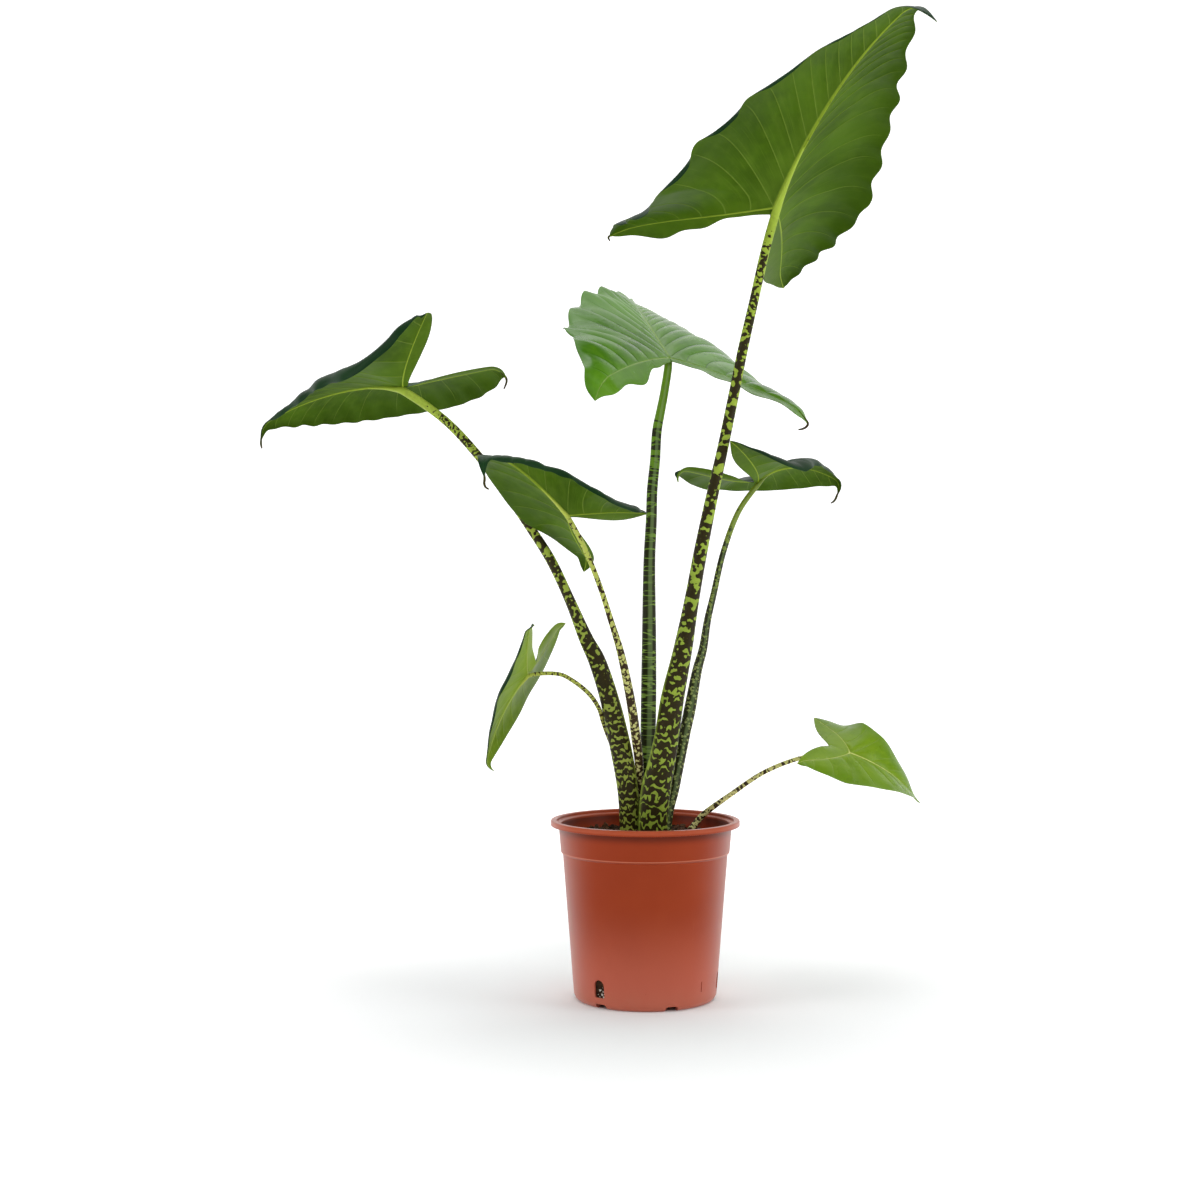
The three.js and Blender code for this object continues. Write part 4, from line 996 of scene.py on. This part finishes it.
def stalk_rings(stalk, leaf, rib, count, around):
    """Rings on the stalk's curve: an ellipse, flat at the foot and round higher up. Past the seat the curve
    runs on under the midrib, sunk by its own radius, and thins out, so that the stalk flows into the rib."""
    path = [list(p) for p in stalk["path"]]
    top = path[-1][3]
    seat = np.array(leaf["seat"])
    for q, share in ((0.0, 0.92), (0.045, 0.7), (0.1, 0.5), (0.16, 0.35), (0.23, 0.22)):
        i = int(round(q * RIB_STEPS))
        r = top * share
        place = seat + rib["at"][i] * leaf["length"] - rib["upper"][i] * (r * 0.92 + 0.2)
        path.append([*place, r])
    at = spline(path, np.linspace(0, 1, count))
    length = np.r_[0, np.cumsum(np.linalg.norm(np.diff(at[:, :3], axis=0), axis=1))]
    even = np.linspace(0, length[-1], count)
    at = np.stack([np.interp(even, length, at[:, k]) for k in range(4)], -1)
    last = len(stalk["path"])
    seat_at = np.interp(last / (len(path) - 1), np.linspace(0, 1, count), length)
    u = even / seat_at
    along = np.gradient(at[:, :3], axis=0)
    along /= np.linalg.norm(along, axis=1)[:, None]
    aside = np.cross(along, (0, 1, 0))
    aside /= np.linalg.norm(aside, axis=1)[:, None]
    back = np.cross(aside, along)
    half = at[:, 3]
    deep = half * (stalk["flat"] + (1 - stalk["flat"]) * smooth(u / 0.5))
    a = 2 * np.pi * np.arange(around) / around
    # A sheath's two edges run up the lower stalk as thin lips.
    lips = np.zeros((count, around))
    for place in stalk.get("lip", []):
        from_lip = (np.degrees(a) - place + 180) % 360 - 180
        lips += np.exp(-((from_lip / SHEATH_EDGE) ** 2))[None] * (1 - smooth((u - 0.28) / 0.1))[:, None]
    swell = 1 + 0.09 * lips * (1 - smooth((u - 0.25) / 0.1))[:, None]
    ring = at[:, None, :3] + (half[:, None] * np.cos(a) * swell)[..., None] * aside[:, None]
    ring = ring + (deep[:, None] * np.sin(a) * swell)[..., None] * back[:, None]
    height = np.broadcast_to(even[:, None], (count, around))
    mark = np.stack([half[:, None] * np.cos(a), half[:, None] * np.sin(a), height], -1)
    # face: how far round the stalk a point faces the front, where the finish paints a sheen band.
    fields = dict(
        mark=mark.reshape(-1, 3), up=np.repeat(u, around), lip=lips.ravel(),
        face=np.tile(-np.sin(a + 0.15), count),
    )
    return at, ring, deep, fields


def make_stalks(ribs):
    """All stalks as closed tubes. Where two feet crowd, the later one's corners are pushed out of the earlier
    one's ellipse at the same height, so the feet nest."""
    done = []
    for i in NESTING:
        around = 48 if i < 3 else 32
        at, ring, deep, fields = stalk_rings(STALKS[i], LEAVES[i], ribs[i], 260 if i < 5 else 160, around)
        for other, other_deep in done:
            z = ring[..., 2]
            low = z < CROWD_Z
            path = (other[:, 0], other[:, 1], other[:, 3], other_deep)
            cx, cy, rx, ry = (np.interp(z, other[:, 2], k) for k in path)
            x, y = (ring[..., 0] - cx) / (rx + FOOT_GAP), (ring[..., 1] - cy) / (ry + FOOT_GAP)
            r = np.hypot(x, y)
            push = np.where(low & (r < 1), 1 / np.maximum(r, 0.05), 1)
            ring[..., 0] = cx + (ring[..., 0] - cx) * push
            ring[..., 1] = cy + (ring[..., 1] - cy) * push
        rise = np.argmax(at[:, 2]) if i not in (5, 6) else len(at)
        done.append((at[:rise], deep[:rise]))
        points, faces = closed_rings(ring, at[:1, :3], at[-1:, :3], turned_in=True)
        for key, value in fields.items():
            fields[key] = np.concatenate([value, value[:1], value[-1:]])
        piece = make_piece("leaf_stalk_%d" % (i + 1), points, faces, [STALK_FINISHES[i]], fields=fields)
        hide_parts("petiole_%d" % (i + 1))
        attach(piece, "root")


# Pot


def rounded(profile, radii, steps=5):
    """A profile with its corners rounded: each corner gives way to an arc-like Bezier between points set back
    along both sides by its radius."""
    p = np.asarray(profile, float)
    out = [p[0]]
    for k in range(1, len(p) - 1):
        a, b = p[k - 1] - p[k], p[k + 1] - p[k]
        la, lb = np.linalg.norm(a), np.linalg.norm(b)
        r = min(radii[k], 0.45 * la, 0.45 * lb)
        if r < 0.05:
            out.append(p[k])
            continue
        out += list(bezier([p[k] + a / la * r, p[k], p[k] + b / lb * r], steps))
    return np.array(out + [p[-1]])


def lathe(profile, steps):
    """A profile of radius and height turned about Z: x = r cos a, y = r sin a. Its two ends lie on the
    axis."""
    a = 2 * np.pi * np.arange(steps) / steps
    r, z = profile[1:-1, :1], profile[1:-1, 1:]
    rings = np.stack([r * np.cos(a), r * np.sin(a), np.broadcast_to(z, (len(r), steps))], -1)
    return closed_rings(rings, [[0, 0, profile[0, 1]]], [[0, 0, profile[-1, 1]]])


def prism(outline, low, high, turn):
    """An outline in x and z pushed along -Y from low to high, then turned about Z."""
    n = len(outline)
    x, z = np.tile(outline[:, 0], 2), np.tile(outline[:, 1], 2)
    y = -np.r_[np.full(n, low), np.full(n, high)]
    c, s = np.cos(turn * DEG), np.sin(turn * DEG)
    i = np.arange(n)
    j = (i + 1) % n
    faces = np.stack([i, j, j + n, i + n], -1).tolist() + [i[::-1].tolist(), (i + n).tolist()]
    return np.stack([x * c - y * s, x * s + y * c, z], -1), faces


def pot_openings():
    """The outlines in x and z of an arched slot, a foot notch with bevelled corners, a floor slit and the
    short upright nick by the foot."""
    arch = np.linspace(0, np.pi, 15)
    half, wide, slit = SLOT_WIDTH / 2, NOTCH_WIDTH / 2, DRAIN_WIDTH / 2
    low = SLOT_BOTTOM
    slot = np.vstack([
        [(half, low + 1), (half - 1, low), (-half + 1, low), (-half, low + 1)],
        np.stack([-half * np.cos(arch), SLOT_TOP - half + half * np.sin(arch)], -1),
    ])
    notch = np.array([
        (wide, -2), (-wide, -2), (-wide, NOTCH_TOP - 1.5), (-wide + 1.5, NOTCH_TOP),
        (wide - 1.5, NOTCH_TOP), (wide, NOTCH_TOP - 1.5),
    ])
    drain = np.array([(slit, 0), (-slit, 0), (-slit, 14), (slit, 14)])
    nick = np.array([(0.65, 15.5), (-0.65, 15.5), (-0.5, 26), (0.5, 26)])
    return slot, notch, drain, nick


def make_pot():
    """The pot: one turned profile with rounded corners, pierced by arched slots, foot notches and floor
    slits."""
    profile = [
        (0, 0), (PAD_R, 0), (PAD_R + 4, FLOOR_Z), (FOOT_R - FOOT_RING - 1, FLOOR_Z), (FOOT_R - FOOT_RING, 0),
        (FOOT_R, 0), (FOOT_R + 3.2, 1.6), (BODY_FOOT_R - 0.4, 5), (BODY_FOOT_R, BODY_FOOT_Z),
        (BODY_TOP_R, STEP_Z - 1.6), (COLLAR_FOOT_R, STEP_Z), (COLLAR_TOP_R, LEDGE_Z - RIM_SKIN),
        (RIM_INNER_R + RIM_SKIN, LEDGE_Z - RIM_SKIN), (RIM_INNER_R + RIM_SKIN, POT_HEIGHT - RIM_SKIN),
        (RIM_R - LIP_WALL, POT_HEIGHT - RIM_SKIN),
        (RIM_R - LIP_WALL, POT_HEIGHT - LIP_DROP), (RIM_R, POT_HEIGHT - LIP_DROP), (RIM_R, POT_HEIGHT),
        (RIM_INNER_R, POT_HEIGHT), (RIM_INNER_R, LEDGE_Z), (LEDGE_R, LEDGE_Z),
        (COLLAR_TOP_R - WALL, LEDGE_Z - 1.2), (COLLAR_FOOT_R - WALL, STEP_Z),
        (BODY_TOP_R - WALL, STEP_Z - 2.4), (BODY_FOOT_R - WALL, FLOOR_Z + WALL),
        (PAD_R + 2.6, FLOOR_Z + WALL), (PAD_R - 1.2, WALL), (0, WALL),
    ]
    radii = [
        0, 1, 1, 1, 0.8, 0.8, 3, 3, 3, 0.7, 0.7, 0.8, 0.8, 0.6, 0.4, 0.3, 0.5, 1.7,
        1.4, 0.6, 0.6, 0.6, 0.8, 0.6, 2, 1, 1, 0,
    ]
    points, faces = lathe(rounded(profile, radii), 192)
    pot = make_piece("pot_shell", points, faces, [pot_finish()])
    slot, notch, drain, nick = pot_openings()
    cuts = [(slot, BODY_FOOT_R - 7, BODY_FOOT_R + 9, SLOT_TURN + i * 360 / SLOTS) for i in range(SLOTS)]
    for i in range(NOTCHES):
        turn = SLOT_TURN + i * 360 / NOTCHES
        cuts.append((notch, FOOT_R - 8, FOOT_R + 8, turn))
        cuts.append((drain, DRAIN_R - DRAIN_LENGTH / 2, DRAIN_R + DRAIN_LENGTH / 2, turn + 180 / NOTCHES))
    cuts.append((nick, BODY_FOOT_R - 0.2, BODY_FOOT_R + 9, 48))
    parts, cells, count = [], [], 0
    for outline, near, far, turn in cuts:
        p, f = prism(outline[::-1], near, far, turn)
        parts.append(p)
        cells += [[k + count for k in face] for face in f]
        count += len(p)
    cutter = make_piece("pot_cutter", np.vstack(parts), cells, [])
    cut = pot.modifiers.new("openings", "BOOLEAN")
    cut.operation, cut.solver, cut.object = "DIFFERENCE", "EXACT", cutter
    whole = bpy.data.meshes.new_from_object(pot.evaluated_get(bpy.context.evaluated_depsgraph_get()))
    pot.modifiers.clear()
    pot.data = whole
    bpy.data.objects.remove(cutter)
    whole.polygons.foreach_set("use_smooth", np.ones(len(whole.polygons), bool))
    whole.set_sharp_from_angle(angle=32 * DEG)
    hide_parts("pot")
    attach(pot, "root")


# Potting mix


def soil_height(x, y):
    """The mix's top: a low mound in the middle, clods of three sizes, level at the wall."""
    r = np.hypot(x, y)
    p = np.stack([x, y], -1)
    lumps = 1.1 * grain(p, 26, 1) + 0.8 * grain(p, 9, 2) + 0.5 * grain(p, 4.2, 3)
    mound = SOIL_Z + SOIL_MOUND * (1 - smooth(r / MOUND_R))
    return mound + lumps * (1 - smooth((r - 74) / 8)) - 1.6 * smooth((r - 70) / 12)


def wall_inside(z):
    """The radius of the pot's inside at these heights, less the gap that the mix leaves."""
    body = BODY_FOOT_R + (BODY_TOP_R - BODY_FOOT_R) * (z - BODY_FOOT_Z) / (STEP_Z - 10) - 0.1
    return np.where(z > STEP_Z - 2.4, COLLAR_FOOT_R, body) - WALL - SOIL_GAP


def make_soil():
    """The mix as one closed body: its side and floor follow the pot's inside, its top is the clod field."""
    steps = 220
    base, floor = WALL + SOIL_GAP, FLOOR_Z + WALL + SOIL_GAP
    side_z = np.r_[np.linspace(floor, 40, 28), np.linspace(46, STEP_Z - 3, 14)]
    step_r = wall_inside(STEP_Z)
    side = zip(wall_inside(side_z), side_z)
    sides = np.array([(PAD_R - 1.6, base), (PAD_R + 2.2, floor), *side, (step_r, STEP_Z + 0.4)])
    a = 2 * np.pi * np.arange(steps) / steps
    r = np.r_[sides[:, 0], step_r + 0.5, np.linspace(81, 1.6, 64)][:, None]
    x, y = r * np.cos(a), r * np.sin(a)
    n = len(sides)
    z = np.vstack([np.broadcast_to(sides[:, 1:], (n, steps)), soil_height(x[n:], y[n:])])
    rings = np.stack([x, y, z], -1)
    crumbs = slice(2, n)
    dent = 0.6 * (0.5 + 0.5 * grain(rings[crumbs], 5, 7))
    rings[crumbs, :, :2] *= 1 - dent[..., None] / r[crumbs][..., None]
    points, faces = closed_rings(rings, [[0, 0, base]], [[0, 0, soil_height(0, 0)]])
    dark, light, fleck = linear(34, 24, 17), linear(74, 52, 36), linear(150, 132, 108)
    finish = soil_finish("potting_mix", dark, light, fleck, flecked=0.25)
    soil = make_piece("potting_mix", points, faces, [finish])
    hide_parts("soil")
    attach(soil, "root")


def scatter(name, finish, count, sizes, flat, seed, spread):
    """Small rough bits on the mix: a rounded box of 26 corners, each bit with its own size, turn and
    dents."""
    rng = np.random.default_rng(seed)
    side = (-1, 0, 1)
    grid = [(x, y, z) for x in side for y in side for z in side if (x, y, z) != (0, 0, 0)]
    unit = np.array(grid, float) / np.linalg.norm(grid, axis=1)[:, None] ** 0.62
    index = {place: k for k, place in enumerate(grid)}
    quads = []
    for axis in range(3):
        for end in (-1, 1):
            for u in (-1, 0):
                for v in (-1, 0):
                    square = [(u, v), (u + 1, v), (u + 1, v + 1), (u, v + 1)]
                    square = square if end > 0 else square[::-1]
                    quads.append([index[tuple(np.roll([end, *c], axis).tolist())] for c in square])
    quads = np.array(quads)
    x, y, z, tilt = spread(rng, count)
    size = rng.uniform(*sizes, count)[:, None] * rng.uniform(0.6, 1.3, (count, 3)) * np.array([1, 1, flat])
    turn = np.linalg.qr(rng.normal(size=(count, 3, 3)) * tilt + np.eye(3))[0]
    yaw = rng.uniform(0, 2 * np.pi, count)
    c, s, o = np.cos(yaw), np.sin(yaw), np.zeros(count)
    spin = np.stack([np.stack([c, -s, o], -1), np.stack([s, c, o], -1), np.stack([o, o, o + 1], -1)], -2)
    body = unit[None] * (1 + rng.uniform(-0.18, 0.18, (count, len(grid), 1))) * size[:, None] / 2
    place = np.einsum("nij,nkj->nki", spin @ turn, body) + np.stack([x, y, z], -1)[:, None]
    faces = (quads[None] + len(grid) * np.arange(count)[:, None, None]).reshape(-1, 4).tolist()
    piece = make_piece(name, place.reshape(-1, 3), faces, [finish], sharp=50)
    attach(piece, "root")
    return piece


def on_top(rng, count):
    """Places on the mix's top, evenly by area, half sunk into it."""
    r = 82 * np.sqrt(rng.uniform(0, 1, count))
    a = rng.uniform(0, 2 * np.pi, count)
    x, y = r * np.cos(a), r * np.sin(a)
    return x, y, soil_height(x, y) + 0.2, 0.35


def at_slots(rng, count):
    """Places on the mix's side just behind the pot's slots, most at their feet."""
    i = rng.integers(0, SLOTS, count)
    a = (SLOT_TURN + i * 360 / SLOTS - 90 + rng.uniform(-4.6, 4.6, count)) * DEG
    z = SLOT_BOTTOM + 0.6 + (SLOT_TOP - SLOT_BOTTOM - 4) * rng.uniform(0, 1, count) ** 1.6
    r = BODY_FOOT_R - WALL - 1.3 + 0.08 * (z - BODY_FOOT_Z)
    return r * np.cos(a), r * np.sin(a), z, 0.6


# Build

ribs = [make_blade(k + 1, leaf) for k, leaf in enumerate(LEAVES)]
make_stalks(ribs)
make_pot()
make_soil()
bark = soil_finish(
    "bark_chips", linear(48, 30, 20), linear(104, 70, 46), linear(130, 98, 70), flecked=0.15, rough=0.8,
)
perlite = soil_finish(
    "perlite_grains", linear(196, 190, 178), linear(232, 228, 220), linear(170, 160, 146),
    flecked=0.2, rough=0.9,
)
crumb = soil_finish("peat_crumbs", linear(30, 21, 15), linear(62, 44, 30), linear(96, 74, 52), flecked=0.2)
corm_skin = soil_finish(
    "corm_skin", linear(70, 54, 34), linear(120, 96, 62), linear(60, 40, 24), flecked=0.3, rough=0.85,
)
scatter("bark_chips_top", bark, 210, sizes=(3.0, 8.5), flat=0.4, seed=11, spread=on_top)
scatter("peat_crumbs_top", crumb, 900, sizes=(1.2, 3.6), flat=0.8, seed=12, spread=on_top)
scatter("perlite_top", perlite, 26, sizes=(1.4, 3.4), flat=0.85, seed=13, spread=on_top)
scatter("perlite_slots", perlite, 45, sizes=(1.6, 3.0), flat=0.8, seed=14, spread=at_slots)
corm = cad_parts["corm"]
corm.data.materials.clear()
corm.data.materials.append(corm_skin)

# Studio


def make_studio():
    """A pale sweep: a flat floor that turns up into a wall along a quarter circle behind the object, with a
    painted shadow round the pot's foot.
    """
    a = np.linspace(0, np.pi / 2, 24)
    front, back, radius, reach = 6000, 1600, 1400, 7000
    bend = np.stack([back + radius * np.sin(a), radius - radius * np.cos(a)], -1)
    line = np.vstack([[(-front, 0)], bend, [(back + radius, reach)]])
    x = np.broadcast_to([[-reach, reach]], (len(line), 2))
    p = np.stack([x, np.repeat(line[:, :1], 2, 1), np.repeat(line[:, 1:], 2, 1)], -1)
    f = Finish("studio_sweep", Roughness=0.9)
    colour = f.blend(f.noise(f.where(), 1.2, 2), linear(250, 250, 250), linear(252, 252, 252))
    glow = f.span(f.node("SeparateXYZ", "Y", {"Vector": f.where()}), 0.3, 1.6, 0.25, 0.58)
    near = f.node("VectorMath", "Value", {"Vector": f.stretch(f.where(), 1.0, 1.0, 0.0)}, operation="LENGTH")
    # Painted shadow: round the pot's foot the glow drops and the colour cools, and under the pot the glow
    # goes out.
    glow = f.sum(glow, f.span(near, 0.08, 0.75, 0.19, 0.0), "SUBTRACT")
    glow = f.sum(glow, f.span(near, 0.06, 0.068, 0.0, 1.0), "MULTIPLY")
    colour = f.blend(f.span(near, 0.07, 0.5, 1.0, 0.0), colour, linear(244, 249, 250))
    white = (1, 1, 1, 1)
    finish = f.done(Base_Color=colour, Emission_Color=white, Emission_Strength=glow, Specular_IOR_Level=0.1)
    faces = grid_faces(len(line), 2)[:, ::-1].tolist()
    floor = make_piece("studio_sweep", p.reshape(-1, 3), faces, [finish])


def soft_light(name, place, target, width, height, power):
    """A rectangular soft box at a place, facing a target."""
    lamp = bpy.data.lights.new(name, "AREA")
    lamp.shape, lamp.size, lamp.size_y, lamp.energy = "RECTANGLE", width, height, power
    holder = bpy.data.objects.new(name, lamp)
    bpy.context.scene.collection.objects.link(holder)
    holder.location = place
    direction = Vector(np.array(target) - np.array(place))
    holder.rotation_mode = "QUATERNION"
    holder.rotation_quaternion = direction.to_track_quat("-Z", "Y")


make_studio()
world = bpy.data.worlds.new("studio_air")
bpy.context.scene.world = world
world.use_nodes = True
air = world.node_tree.nodes["Background"].inputs
air["Color"].default_value = (1, 1, 1, 1)
air["Strength"].default_value = 0.22
soft_light("left_box", (-1.7, -0.7, 0.9), (0, 0, 0.45), width=0.9, height=1.8, power=13)
soft_light("right_box", (1.7, -0.6, 0.9), (0, 0, 0.45), width=0.9, height=1.8, power=13)
soft_light("top_box", (0.1, 0.2, 2.3), (0, 0.05, 0.5), width=1.6, height=1.6, power=20)
soft_light("front_box", (0.3, -2.6, 1.8), (0, 0, 0.4), width=2.0, height=1.2, power=18)

# The photo's camera: 2 m in front of the pot, a little above its middle, looking down by less than a degree.
EYE = (-0.0455, -2.0, 0.430)
LOOK_DOWN = 0.84
camera = bpy.data.cameras.new("photo_camera")
camera.lens = 59.7
camera.sensor_width = 36
camera.clip_start, camera.clip_end = 0.05, 50
eye = bpy.data.objects.new("photo_camera", camera)
bpy.context.scene.collection.objects.link(eye)
eye.location = EYE
eye.rotation_euler = ((90 - LOOK_DOWN) * DEG, 0, 0)
bpy.context.scene.camera = eye
bpy.context.scene.view_settings.view_transform = "Standard"

bpy.context.view_layer.update()
